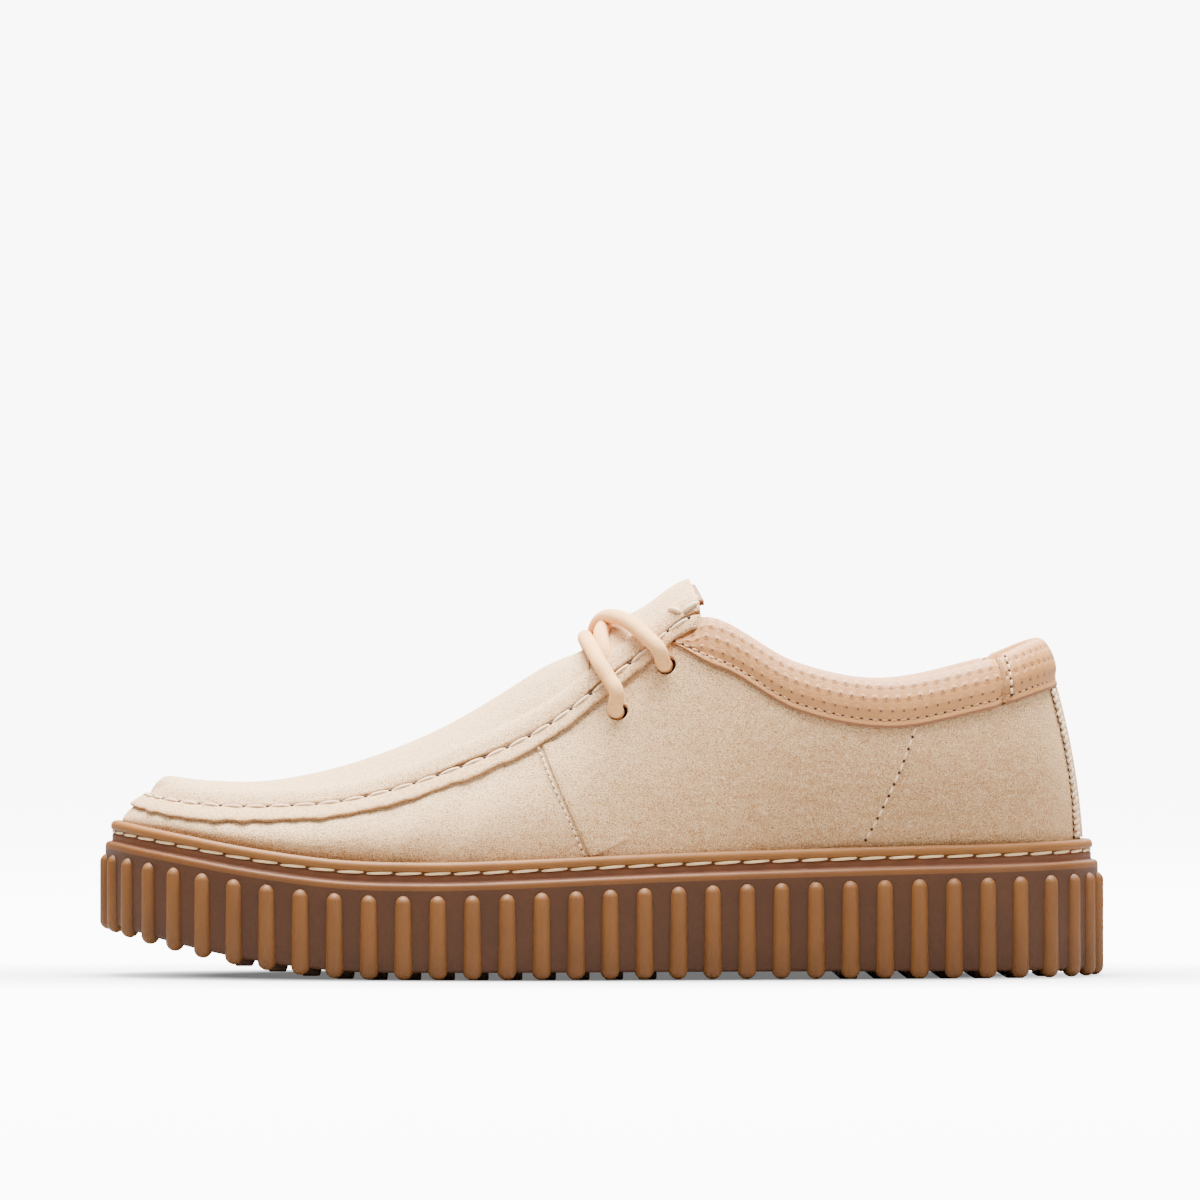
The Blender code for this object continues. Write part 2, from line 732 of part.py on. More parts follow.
def build_tongue(parts):
    """Tongue from under the apron up to its free top edge."""
    shape = bmesh.new()
    rows = []
    for station in station_range(TONGUE_ROOT_STATION, TONGUE_TOP_STATION):
        points = []
        for column in range(CROWN_COLUMNS + 1):
            across = 2.0 * column / CROWN_COLUMNS - 1.0
            points.append(tongue_surface(station, across))
        rows.append(add_row(shape, points))
    skin_rows(shape, rows)
    tongue = make_object("tongue", shape, parts)
    wall = tongue.modifiers.new("Thickness", "SOLIDIFY")
    wall.thickness = TONGUE_THICKNESS
    wall.offset = -1.0
    wall.use_even_offset = True
    return tongue


def build_cord(name, strands, parts, guides):
    """Round lace along smooth strands, joined where they cross."""
    pieces = []
    for number, points in enumerate(strands):
        curve = bpy.data.curves.new(f"{name}_route_{number}", "CURVE")
        curve.dimensions = "3D"
        curve.bevel_depth = 0.5 * LACE_DIAMETER
        curve.bevel_resolution = 2
        curve.use_fill_caps = True
        spline = curve.splines.new("POLY")
        route = smooth_route([lace_point(*row) for row in points])
        spline.points.add(len(route) - 1)
        for control, place in zip(spline.points, route):
            control.co = (*place, 1.0)
        run = bpy.data.objects.new(f"{name}_route_{number}", curve)
        guides.objects.link(run)
        bpy.context.view_layer.update()
        mesh = bpy.data.meshes.new_from_object(
            run.evaluated_get(bpy.context.evaluated_depsgraph_get())
        )
        bpy.data.objects.remove(run, do_unlink=True)
        shape = bmesh.new()
        shape.from_mesh(mesh)
        bmesh.ops.remove_doubles(shape, verts=shape.verts, dist=CURVE_WELD)
        target = parts if number == 0 else guides
        pieces.append(make_object(name if number == 0 else f"{name}_{number}", shape, target))
    for piece in pieces[1:]:
        apply_boolean(pieces[0], piece, "UNION")
    return pieces[0]


def lace_point(along, side, height):
    """Place of a row of a lace's route."""
    base = sole_top(THROAT_STATION)
    return Vector((along_to_x(along), side * BALL_WIDTH, base + height * UPPER_RISE))


def smooth_route(points):
    """Points of an open smooth curve, a few to each span of a hand-chosen route."""
    padded = [points[0] * 2.0 - points[1], *points, points[-1] * 2.0 - points[-2]]
    route = []
    for index in range(1, len(padded) - 2):
        for step in range(ROUTE_STEPS):
            route.append(ring_value(padded, index + step / ROUTE_STEPS))
    return route + [points[-1]]


def build_lace(parts, guides):
    """The front bar, and the cross over the tongue behind it."""
    build_cord("lace_front_bar", (LACE_FRONT_BAR,), parts, guides)
    mirrored = [(along, -side, height) for along, side, height in LACE_CROSS]
    build_cord("lace_cross", (LACE_CROSS, mirrored), parts, guides)


def main():
    """Build every piece."""
    for thing in list(bpy.data.objects):
        bpy.data.objects.remove(thing, do_unlink=True)
    parts = bpy.data.collections.new("moc_toe_shoe")
    guides = bpy.data.collections.new("guides")
    for collection in (parts, guides):
        bpy.context.scene.collection.children.link(collection)
    build_outsole(parts, guides)
    build_insole(parts)
    build_upper(parts, guides)
    build_seam_lip(parts)
    build_collar(parts)
    build_heel_strip(parts)
    build_tongue(parts)
    build_lace(parts, guides)


main()
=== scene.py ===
"""Looks of a moc-toe lace-up shoe in cream suede on a ribbed gum sole.

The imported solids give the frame. Every surface is modelled again here on the
same last, with its stitches, holes, padding and nap.
"""
import logging
import math
from dataclasses import dataclass, field
from enum import Enum
from typing import Callable, Iterable, Sequence

import bmesh
import bpy
from mathutils import Matrix, Vector, kdtree, noise


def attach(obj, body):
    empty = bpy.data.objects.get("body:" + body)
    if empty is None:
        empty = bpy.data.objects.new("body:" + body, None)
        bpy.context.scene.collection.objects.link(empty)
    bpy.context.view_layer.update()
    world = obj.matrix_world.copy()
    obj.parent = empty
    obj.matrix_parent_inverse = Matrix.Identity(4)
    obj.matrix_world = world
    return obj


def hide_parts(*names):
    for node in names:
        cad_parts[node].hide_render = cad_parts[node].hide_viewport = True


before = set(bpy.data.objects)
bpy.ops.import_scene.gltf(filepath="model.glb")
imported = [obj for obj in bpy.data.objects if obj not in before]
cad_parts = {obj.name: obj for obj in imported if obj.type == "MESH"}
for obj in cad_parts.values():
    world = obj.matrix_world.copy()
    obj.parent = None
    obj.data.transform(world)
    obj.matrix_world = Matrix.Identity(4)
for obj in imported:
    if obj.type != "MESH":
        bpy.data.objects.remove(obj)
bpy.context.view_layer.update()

log = logging.getLogger("moc_toe_shoe")
MM = 0.001
WELD = 0.001 * MM
FINE_WELD = 0.0001 * MM
CAP_SHARE = 0.35
WALK_END = 1e-9
TINY = 1e-6
WHITE = (1.0, 1.0, 1.0)
Colour = tuple[float, float, float]
Surface = Callable[[float, float], Vector]
Socket = bpy.types.NodeSocket
Spot = tuple[Vector, Vector]


def srgb(red: int, green: int, blue: int) -> Colour:
    """Linear colour of a screen colour.

    Args:
        red: Red, 0 to 255.
        green: Green, 0 to 255.
        blue: Blue, 0 to 255.

    Returns:
        The linear colour.
    """
    def linear(value: int) -> float:
        """Linear value of one channel."""
        share = value / 255.0
        return share / 12.92 if share <= 0.04045 else ((share + 0.055) / 1.055) ** 2.4

    return linear(red), linear(green), linear(blue)


def smooth_step(value: float, start: float, end: float) -> float:
    """A soft rise from 0 before start to 1 after end.

    Args:
        value: Where to read it.
        start: Where the rise begins.
        end: Where the rise is whole.

    Returns:
        A share from 0 to 1.
    """
    t = min(max((value - start) / (end - start), 0.0), 1.0)
    return t * t * (3.0 - 2.0 * t)


def ring_value(values: Sequence, station: float):
    """Smooth closed curve through one value a station.

    Args:
        values: One number or vector a station.
        station: Place along the ring.

    Returns:
        The curve's value there.
    """
    index = math.floor(station)
    t = station - index
    a, b, c, d = (values[(index + k) % len(values)] for k in (-1, 0, 1, 2))
    return 0.5 * (2.0 * b + (c - a) * t + (2.0 * a - 5.0 * b + 4.0 * c - d) * t * t
                  + (3.0 * b - a - 3.0 * c + d) * t ** 3)


def open_curve(points: Sequence[Vector], per_span: int) -> list[Vector]:
    """Smooth open curve through points.

    Args:
        points: The curve's own points.
        per_span: Steps between two of them.

    Returns:
        Points along the curve, both ends in.
    """
    padded = [points[0] * 2.0 - points[1], *points, points[-1] * 2.0 - points[-2]]
    route = [ring_value(padded, index + step / per_span)
             for index in range(1, len(padded) - 2) for step in range(per_span)]
    return route + [points[-1]]


SOLE_OUTLINE = (
    # along, outer, inner: shares of the sole's length and the ball's width
    (0.000, 0.075, 0.075),
    (0.022, -0.140, 0.220),
    (0.085, -0.318, 0.358),
    (0.165, -0.410, 0.435),
    (0.250, -0.453, 0.480),
    (0.345, -0.482, 0.495),
    (0.440, -0.468, 0.448),
    (0.530, -0.432, 0.390),
    (0.605, -0.402, 0.352),
    (0.695, -0.378, 0.338),
    (0.790, -0.370, 0.348),
    (0.885, -0.353, 0.345),
    (0.962, -0.250, 0.252),
    (1.000, 0.000, 0.000),
)
TOPLINE = (
    # along, outer, inner, height: shares of the length, the ball's width and the upper's rise
    (0.050, 0.085, 0.085, 0.112),
    (0.066, -0.085, 0.215, 0.110),
    (0.114, -0.195, 0.298, 0.134),
    (0.175, -0.255, 0.330, 0.195),
    (0.255, -0.285, 0.330, 0.276),
    (0.345, -0.285, 0.305, 0.411),
    (0.440, -0.258, 0.268, 0.606),
    (0.530, -0.232, 0.238, 0.920),
    (0.600, -0.235, 0.240, 1.136),
    (0.690, -0.282, 0.277, 0.908),
    (0.780, -0.302, 0.297, 0.814),
    (0.870, -0.275, 0.277, 0.888),
    (0.920, -0.168, 0.172, 0.966),
    (0.934, 0.000, 0.000, 0.986),
)
STATION_FORM = (
    # sole thickness, wall swell, shoulder rise, crown rise: shares of the heel's thickness,
    # the ball's width and, twice, the upper's rise
    (0.815, 0.012, 0.090, 0.000),
    (0.840, 0.016, 0.097, 0.025),
    (0.878, 0.028, 0.094, 0.032),
    (0.888, 0.036, 0.090, 0.045),
    (0.882, 0.040, 0.100, 0.086),
    (0.878, 0.040, 0.118, 0.116),
    (0.902, 0.036, 0.129, 0.176),
    (0.930, 0.030, 0.132, 0.139),
    (0.950, 0.030, 0.110, 0.102),
    (0.970, 0.036, 0.098, 0.082),
    (0.990, 0.040, 0.098, 0.082),
    (1.005, 0.044, 0.098, 0.082),
    (1.022, 0.034, 0.098, 0.082),
    (1.030, 0.020, 0.098, 0.082),
)
EYELETS = ((6.78, 0.83), (7.41, 0.885))
HEEL = float(len(SOLE_OUTLINE) - 1)
LAP = 2.0 * HEEL


def around(table: Sequence[Sequence[float]], outer: int, inner: int) -> list[float]:
    """Column of a side table from the toe along the outer side and back along the inner.

    Args:
        table: Rows from the toe to the heel.
        outer: Column of the outer side.
        inner: Column of the inner side.

    Returns:
        One value for each station of the ring.
    """
    return [row[outer] for row in table] + [row[inner] for row in reversed(table[1:-1])]


@dataclass(frozen=True)
class Column:
    """The upper's wall at one station."""

    foot: Vector
    top: Vector
    out: Vector
    swell: float
    height: float


@dataclass
class Last:
    """The shoe's own form: every piece reads its surface here.

    A station is a place round the shoe: 0 at the toe tip, 13 at the heel's
    middle and 26 back at the toe, the outer side first.
    """

    sole_length: float = 303.0 * MM
    ball_width: float = 111.0 * MM
    heel_thickness: float = 40.0 * MM
    toe_spring: float = 14.0 * MM
    collar_height: float = 102.0 * MM
    heel_lug_share: float = 0.84
    rib_proud: float = 1.9 * MM
    rim_width: float = 5.3 * MM
    seat_depth: float = 5.0 * MM
    seat_lift: float = 0.3 * MM
    spring_end: float = 0.28
    spring_power: float = 1.8
    collar_band: float = 15.0 * MM
    leg_width: float = 6.5 * MM
    leg_end: float = 7.22
    band_full: float = 8.15
    lip_end: float = 7.94
    lip_width: float = 4.0 * MM
    halvings: int = 40
    outline_ring: list[Vector] = field(init=False)
    topline_ring: list[Vector] = field(init=False)
    form_rings: list[list[float]] = field(init=False)
    columns: dict[float, Column] = field(init=False, default_factory=dict)

    def __post_init__(self) -> None:
        """Work out the rings from the tables."""
        length = self.sole_length - 2.0 * self.rib_proud
        width = self.ball_width - 2.0 * self.rib_proud
        self.outline_ring = [
            Vector((self.x_at(along, length), side * width, 0.0))
            for along, side in zip(around(SOLE_OUTLINE, 0, 0), around(SOLE_OUTLINE, 1, 2))
        ]
        rise = self.collar_height - self.heel_thickness
        scales = (self.heel_thickness, self.ball_width, rise, rise)
        self.form_rings = [
            [share * scale for share in around(STATION_FORM, k, k)]
            for k, scale in enumerate(scales)
        ]
        self.topline_ring = [
            Vector((self.x_at(along, self.sole_length), side * self.ball_width,
                    self.sole_top(station) + height * rise))
            for station, (along, side, height) in enumerate(zip(
                around(TOPLINE, 0, 0), around(TOPLINE, 1, 2), around(TOPLINE, 3, 3)))
        ]

    def x_at(self, share: float, length: float) -> float:
        """X of a share of a length that shares its middle with the sole."""
        return (share - 0.5) * length + (0.5 - self.heel_lug_share) * self.sole_length

    def side_station(self, station: float) -> float:
        """Stations from the toe, whichever the side."""
        station %= LAP
        return min(station, LAP - station)

    def outward(self, ring: Sequence[Vector], station: float) -> Vector:
        """Level direction out of a ring.

        Args:
            ring: One point a station.
            station: Place round the shoe.

        Returns:
            The unit vector.
        """
        run = ring_value(ring, station + 0.02) - ring_value(ring, station - 0.02)
        return Vector((run.y, -run.x, 0.0)).normalized()

    def floor_line(self, x: float) -> float:
        """Height of the tread.

        Args:
            x: Where along the shoe.

        Returns:
            The height over the floor.
        """
        toe = self.outline_ring[0].x
        length = self.outline_ring[int(HEEL)].x - toe
        rise = max(0.0, 1.0 - (x - toe) / length / self.spring_end)
        return self.toe_spring * rise ** self.spring_power

    def sole_top(self, station: float) -> float:
        """Height of the sole's rim at a station."""
        x = ring_value(self.outline_ring, station).x
        return self.floor_line(x) + ring_value(self.form_rings[0], station)

    def sole_point(self, station: float, inset: float, height: float) -> Vector:
        """Point beside the sole's outline.

        Args:
            station: Place round the shoe.
            inset: Distance inwards from the outline.
            height: Height over the floor.

        Returns:
            The point.
        """
        point = ring_value(self.outline_ring, station)
        point = point - self.outward(self.outline_ring, station) * inset
        return Vector((point.x, point.y, height))

    def topline_pair(self, station: float) -> Spot:
        """Topline's outer and inner points at a station."""
        return ring_value(self.topline_ring, station), ring_value(self.topline_ring, LAP - station)

    def column(self, station: float) -> Column:
        """What the wall needs at a station, worked out once for each.

        Args:
            station: Place round the shoe.

        Returns:
            The wall's column.
        """
        key = round(station % LAP, 6)
        if key not in self.columns:
            base = self.sole_top(key) + self.seat_lift
            top = ring_value(self.topline_ring, key)
            self.columns[key] = Column(
                foot=self.sole_point(key, self.rim_width, base), top=top,
                out=self.outward(self.outline_ring, key), swell=ring_value(self.form_rings[1], key),
                height=top.z - base + self.seat_depth)
        return self.columns[key]

    def wall_height(self, station: float) -> float:
        """Height of the wall from its foot to the topline."""
        return self.column(station).height

    def rim_rise(self, station: float) -> float:
        """Rise at which the wall leaves the sole's rim."""
        return self.seat_depth / self.wall_height(station)

    def wall(self, station: float, rise: float) -> Vector:
        """Outer face of the upper's wall.

        Args:
            station: Place round the shoe.
            rise: 0 at the seat in the sole and 1 at the topline.

        Returns:
            The point.
        """
        column = self.column(station)
        hidden = self.seat_depth / column.height
        free = (rise - hidden) / (1.0 - hidden)
        if free <= 0.0:
            return column.foot + Vector((0.0, 0.0, (rise - hidden) * column.height))
        return column.foot.lerp(column.top, free) + column.out * (column.swell * 4.0 * free * (1.0 - free))

    def wall_normal(self, station: float, rise: float) -> Vector:
        """Outward direction of the wall.

        Args:
            station: Place round the shoe.
            rise: Share of the wall's height.

        Returns:
            The unit normal.
        """
        run = self.wall(station + 0.02, rise) - self.wall(station - 0.02, rise)
        climb = self.wall(station, rise + 0.02) - self.wall(station, rise - 0.02)
        return run.cross(climb).normalized()

    def wall_spot(self, station: float, rise: float, proud: float) -> Spot:
        """Point that stands proud of the wall, and the wall's normal there."""
        normal = self.wall_normal(station, rise)
        return self.wall(station, rise) + normal * proud, normal

    def wall_out(self, station: float, rise: float, proud: float) -> Vector:
        """Point that stands proud of the wall."""
        return self.wall_spot(station, rise, proud)[0]

    def band_foot(self, station: float) -> float:
        """Rise of the suede's top: the topline in front, the collar's foot behind."""
        fade = smooth_step(self.side_station(station), self.leg_end, self.band_full)
        return 1.0 - fade * self.collar_band / self.wall_height(station)

    def band_roof(self, station: float) -> float:
        """Rise of the collar's top: under the seam's lip in front, the topline behind."""
        under = 1.0 - smooth_step(self.side_station(station), self.lip_end - 0.12, self.lip_end + 0.08)
        return 1.0 - under * self.lip_width / self.wall_height(station)

    def station_at(self, x: float, rise: float, inner: bool = False) -> float:
        """Station whose wall point at a rise has a given X.

        Args:
            x: Where along the shoe.
            rise: Height share of the wall.
            inner: True for the inner side.

        Returns:
            The station.
        """
        low, high = 0.0, HEEL
        for _ in range(self.halvings):
            middle = 0.5 * (low + high)
            if self.wall(LAP - middle if inner else middle, rise).x < x:
                low = middle
            else:
                high = middle
        return LAP - low if inner else low


@dataclass
class Apron:
    """The apron's surface inside the moc seam, and of the legs behind it."""

    last: Last
    seam_step: float = 0.05
    pucker: float = 0.28 * MM
    stitch_pitch: float = 7.5 * MM
    dip: float = 3.2 * MM
    dip_station: float = 6.5
    dip_reach: float = 0.3
    crease: float = 0.7 * MM
    crease_span: tuple[float, float] = (5.85, 6.5)
    crease_from_seam: float = 7.6 * MM
    crease_width: float = 1.3 * MM
    gather_reach: float = 4.0 * MM
    roll_power: float = 0.75
    tree: kdtree.KDTree = field(init=False)
    along: list[float] = field(init=False)

    def __post_init__(self) -> None:
        """Lay out points along the seam, to measure distances from it."""
        stations = [k * self.seam_step for k in range(round(LAP / self.seam_step))]
        points = [ring_value(self.last.topline_ring, s) for s in stations]
        self.tree = kdtree.KDTree(len(points))
        self.along = [0.0]
        for k, point in enumerate(points):
            self.tree.insert(Vector((point.x, point.y, 0.0)), k)
            if k:
                self.along.append(self.along[-1] + (point - points[k - 1]).length)
        self.tree.balance()

    def surface(self, station: float, across: float) -> Vector:
        """Point of the apron.

        Args:
            station: Stations from the toe, the same on both sides.
            across: -1 at the outer seam to 1 at the inner seam.

        Returns:
            The point.
        """
        rings = self.last.form_rings
        outer, inner = self.last.topline_pair(station)
        point = outer.lerp(inner, 0.5 + 0.5 * across)
        _, index, distance = self.tree.find(Vector((point.x, point.y, 0.0)))
        near = min(distance / self.last.leg_width, 1.0)
        roll = (1.0 - (1.0 - near) ** 2) ** self.roll_power
        half = max(0.5 * (inner - outer).length, TINY)
        flat = max(half - self.last.leg_width, 0.25 * half)
        dome = max(0.0, 1.0 - (across * half / flat) ** 2)
        dip = self.dip * math.exp(-((station - self.dip_station) / self.dip_reach) ** 2)
        point.z += ring_value(rings[2], station) * roll + (ring_value(rings[3], station) - dip) * dome
        start, end = self.crease_span
        fold = smooth_step(station, start - 0.5, start) * (1.0 - smooth_step(station, end, end + 0.1))
        off_crease = (distance - self.crease_from_seam) / self.crease_width
        point.z -= self.crease * fold * math.exp(-off_crease ** 2)
        gather = (1.0 - smooth_step(station, 1.5, 4.0)) * math.exp(-distance / self.gather_reach)
        phase = 2.0 * math.pi * self.along[index] / self.stitch_pitch
        point.z += self.pucker * gather * math.cos(phase) * min(1.0, near * 4.0)
        return point

    def normal(self, station: float, across: float) -> Vector:
        """Upward direction of the apron.

        Args:
            station: Stations from the toe.
            across: -1 at the outer seam to 1 at the inner seam.

        Returns:
            The unit normal.
        """
        run = self.surface(station + 0.04, across) - self.surface(station - 0.04, across)
        side = self.surface(station, across + 0.03) - self.surface(station, across - 0.03)
        normal = run.cross(side).normalized()
        return normal if normal.z > 0.0 else -normal


# Building pieces

def bent_grid(columns: int, rows: int, place: Surface) -> bmesh.types.BMesh:
    """A flat grid bent onto a surface, with a UV map in millimetres along it.

    Args:
        columns: Faces along the surface.
        rows: Faces across it.
        place: The surface, read with two shares from 0 to 1.

    Returns:
        The bent grid.
    """
    shape = bmesh.new()
    bmesh.ops.create_grid(shape, x_segments=columns, y_segments=rows, size=0.5)
    spots = {}
    for vert in shape.verts:
        column = round((vert.co.x + 0.5) * columns)
        row = round((vert.co.y + 0.5) * rows)
        spots[(column, row)] = vert
        vert.index = column * (rows + 1) + row
    for (column, row), vert in spots.items():
        vert.co = place(column / columns, row / rows)
    middle_row, middle_column = rows // 2, columns // 2
    along, up = [0.0], [0.0]
    for k in range(columns):
        step = spots[(k + 1, middle_row)].co - spots[(k, middle_row)].co
        along.append(along[-1] + step.length / MM)
    for k in range(rows):
        step = spots[(middle_column, k + 1)].co - spots[(middle_column, k)].co
        up.append(up[-1] + step.length / MM)
    layer = shape.loops.layers.uv.new("UVMap")
    for face in shape.faces:
        for loop in face.loops:
            column, row = divmod(loop.vert.index, rows + 1)
            loop[layer].uv = (along[column], up[row])
    return shape


def close_shape(shape: bmesh.types.BMesh, weld: float, split: bool = False) -> None:
    """Weld a bent grid's seam, fill its open rims and turn its faces outwards.

    Args:
        shape: The piece.
        weld: Distance under which points are welded.
        split: True to cut the filled rims into triangles.
    """
    bmesh.ops.remove_doubles(shape, verts=shape.verts, dist=weld)
    rims = [edge for edge in shape.edges if edge.is_boundary]
    bmesh.ops.holes_fill(shape, edges=rims, sides=0)
    if split:
        bmesh.ops.triangulate(shape, faces=[face for face in shape.faces if len(face.verts) > 4])
    bmesh.ops.recalc_face_normals(shape, faces=shape.faces)


def paint_rows(shape: bmesh.types.BMesh, count: int, finish_of: Callable[[int, int], int]) -> None:
    """Give each face of a bent grid its material, before any weld.

    Args:
        shape: The piece.
        count: Points across the grid.
        finish_of: Material index for a face's lowest and highest row.
    """
    for face in shape.faces:
        rows = [vert.index % count for vert in face.verts]
        face.material_index = finish_of(min(rows), max(rows))


def new_mesh(shape: bmesh.types.BMesh, name: str) -> bpy.types.Mesh:
    """Mesh from a bmesh, which is freed.

    Args:
        shape: The bmesh.
        name: The mesh's name.

    Returns:
        The mesh.
    """
    mesh = bpy.data.meshes.new(name)
    shape.to_mesh(mesh)
    shape.free()
    return mesh


def new_object(name: str, data: bpy.types.ID) -> bpy.types.Object:
    """New object in the scene."""
    made = bpy.data.objects.new(name, data)
    bpy.context.scene.collection.objects.link(made)
    return made


def finish_piece(
    shape: bmesh.types.BMesh, name: str, materials: Sequence[bpy.types.Material],
    nodes: Sequence[str] = (), flip: bool = False,
) -> bpy.types.Object:
    """Object from a bmesh that rides with the shoe.

    Args:
        shape: The piece; it is freed.
        name: The piece's name.
        materials: Its materials, in the order of its faces' indices.
        nodes: Solids that the piece stands for.
        flip: True where the faces point inwards.

    Returns:
        The object, at the origin.
    """
    if flip:
        bmesh.ops.reverse_faces(shape, faces=shape.faces[:])
    mesh = new_mesh(shape, name)
    mesh.shade_smooth()
    for material in materials:
        mesh.materials.append(material)
    piece = new_object(name, mesh)
    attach(piece, "root")
    if nodes:
        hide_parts(*nodes)
    log.info("%s: %d faces", name, len(mesh.polygons))
    return piece


def add_modifier(piece: bpy.types.Object, kind: str, **settings: object) -> None:
    """Add a modifier.

    Args:
        piece: Where it is added.
        kind: Its type.
        settings: Its properties.
    """
    modifier = piece.modifiers.new(kind.title(), kind)
    for key, value in settings.items():
        setattr(modifier, key, value)


def lined_sheet(
    shape: bmesh.types.BMesh, name: str, materials: Sequence[bpy.types.Material], thickness: float,
    nodes: Sequence[str] = (), flip: bool = False,
) -> bpy.types.Object:
    """Suede sheet with its thickness inwards, a lining inside and a raw edge.

    Args:
        shape: The sheet's outer face.
        name: The piece's name.
        materials: Suede, lining and raw edge.
        thickness: Of the sheet.
        nodes: Solids that the piece stands for.
        flip: True where the faces point inwards.

    Returns:
        The object.
    """
    piece = finish_piece(shape, name, materials, nodes, flip)
    add_modifier(piece, "SOLIDIFY", thickness=thickness, offset=-1.0, material_offset=1,
                 material_offset_rim=2)
    return piece


def basis(along: Vector, up: Vector, place: Vector) -> Matrix:
    """Matrix with X along a run and Z near up.

    Args:
        along: The run.
        up: The wanted Z.
        place: The origin.

    Returns:
        The matrix.
    """
    x_axis = along.normalized()
    y_axis = up.cross(x_axis).normalized()
    z_axis = x_axis.cross(y_axis)
    turn = Matrix((x_axis, y_axis, z_axis)).transposed().to_4x4()
    return Matrix.Translation(place) @ turn


def add_stitch(
    shape: bmesh.types.BMesh, start: Vector, end: Vector, up: Vector,
    radius: float, bow: float, segments: tuple[int, int] = (8, 7),
) -> None:
    """One thread stitch: a plump strand that dips into its holes at both ends.

    Args:
        shape: Where it is added.
        start: First hole.
        end: Second hole.
        up: Normal of the surface.
        radius: Half the thread's thickness.
        bow: How far the ends dip.
        segments: Faces round and along.
    """
    length = (end - start).length
    if length < TINY:
        return
    made = bmesh.ops.create_uvsphere(shape, u_segments=segments[0], v_segments=segments[1], radius=1.0)
    turn = Matrix.Rotation(math.radians(90.0), 4, "Y")
    place = basis(end - start, up, (start + end) * 0.5)
    for vert in made["verts"]:
        co = turn @ vert.co
        full = (1.0 - abs(co.x) ** 3) ** 0.33 if abs(co.x) < 1.0 else 0.0
        thin = max(math.hypot(co.y, co.z), TINY)
        co.y, co.z = co.y / thin * full * radius, co.z / thin * full * radius
        if abs(co.x) > 0.999:
            co.y = co.z = 0.0
        co.z -= bow * co.x * co.x
        co.x *= 0.5 * length
        vert.co = place @ co


def add_hole(shape: bmesh.types.BMesh, place: Vector, up: Vector, radius: float) -> None:
    """A small dark cap of painted shade that lies on the surface where a needle hole is.

    Args:
        shape: Where it is added.
        place: Its middle.
        up: Normal of the surface.
        radius: Half its width.
    """
    made = bmesh.ops.create_icosphere(shape, subdivisions=1, radius=radius)
    turn = Vector((0.0, 0.0, 1.0)).rotation_difference(up).to_matrix().to_4x4()
    for vert in made["verts"]:
        vert.co.z *= CAP_SHARE
        vert.co = place + turn @ vert.co


def run_lengths(points: Sequence[Vector]) -> list[float]:
    """Length of a route up to each of its points.

    Args:
        points: The route, close together.

    Returns:
        One length for each point.
    """
    lengths = [0.0]
    for a, b in zip(points, points[1:]):
        lengths.append(lengths[-1] + (b - a).length)
    return lengths


def walk(route: Sequence[Spot], lengths: Sequence[float], shares: Iterable[float]) -> list[Spot]:
    """Points at rising shares of a route's length.

    Args:
        route: Points and normals, close together.
        lengths: Length of the route up to each of them.
        shares: Where the points are wanted, from 0 to 1.

    Returns:
        Points and normals.
    """
    found, k = [], 0
    for share in shares:
        wanted = min(share * lengths[-1], lengths[-1] - WALK_END)
        while lengths[k + 1] < wanted:
            k += 1
        t = (wanted - lengths[k]) / (lengths[k + 1] - lengths[k])
        point = route[k][0].lerp(route[k + 1][0], t)
        found.append((point, route[k][1].lerp(route[k + 1][1], t).normalized()))
    return found


def spread(route: Sequence[Spot], pitch: float) -> list[Spot]:
    """Points at an even pitch along a route of points with normals.

    Args:
        route: Points and normals, close together.
        pitch: Wanted distance between points.

    Returns:
        Points and normals, with the pitch fitted to the route's length.
    """
    lengths = run_lengths([point for point, _ in route])
    count = max(1, round(lengths[-1] / pitch))
    return walk(route, lengths, [number / count for number in range(count + 1)])


@dataclass(frozen=True)
class Stitching:
    """Sizes of a row of stitches.

    The thread covers a share of the pitch, leans sideways by its slant and dips
    at its ends by its bow; bow and prick, the needle hole's size, are in radii.
    """

    pitch: float
    radius: float
    fill: float = 0.8
    slant: float = 0.0
    bow: float = 0.4
    prick: float = 1.05


def sew(name: str, route: Sequence[Spot], sizes: Stitching, thread: bpy.types.Material,
        hole: bpy.types.Material) -> None:
    """A row of stitches with its needle holes along a route.

    Args:
        name: Name of the row.
        route: Points and normals along the row.
        sizes: Its stitching.
        thread: Material of the thread.
        hole: Material of the holes.
    """
    radius = sizes.radius
    places = spread(route, sizes.pitch)
    stitches, holes = bmesh.new(), bmesh.new()
    for (a, up_a), (b, up_b) in zip(places, places[1:]):
        up = (up_a + up_b).normalized()
        side = up.cross((b - a).normalized()) * sizes.slant
        middle, half = (a + b) * 0.5, (b - a) * (0.5 * sizes.fill)
        add_stitch(stitches, middle - half - side, middle + half + side, up, radius, sizes.bow * radius)
    # Each needle hole is a dark cap of painted shade.
    for place, up in places:
        add_hole(holes, place - up * (CAP_SHARE * radius), up, sizes.prick * radius)
    finish_piece(stitches, f"{name}_thread", [thread])
    finish_piece(holes, f"{name}_holes", [hole])


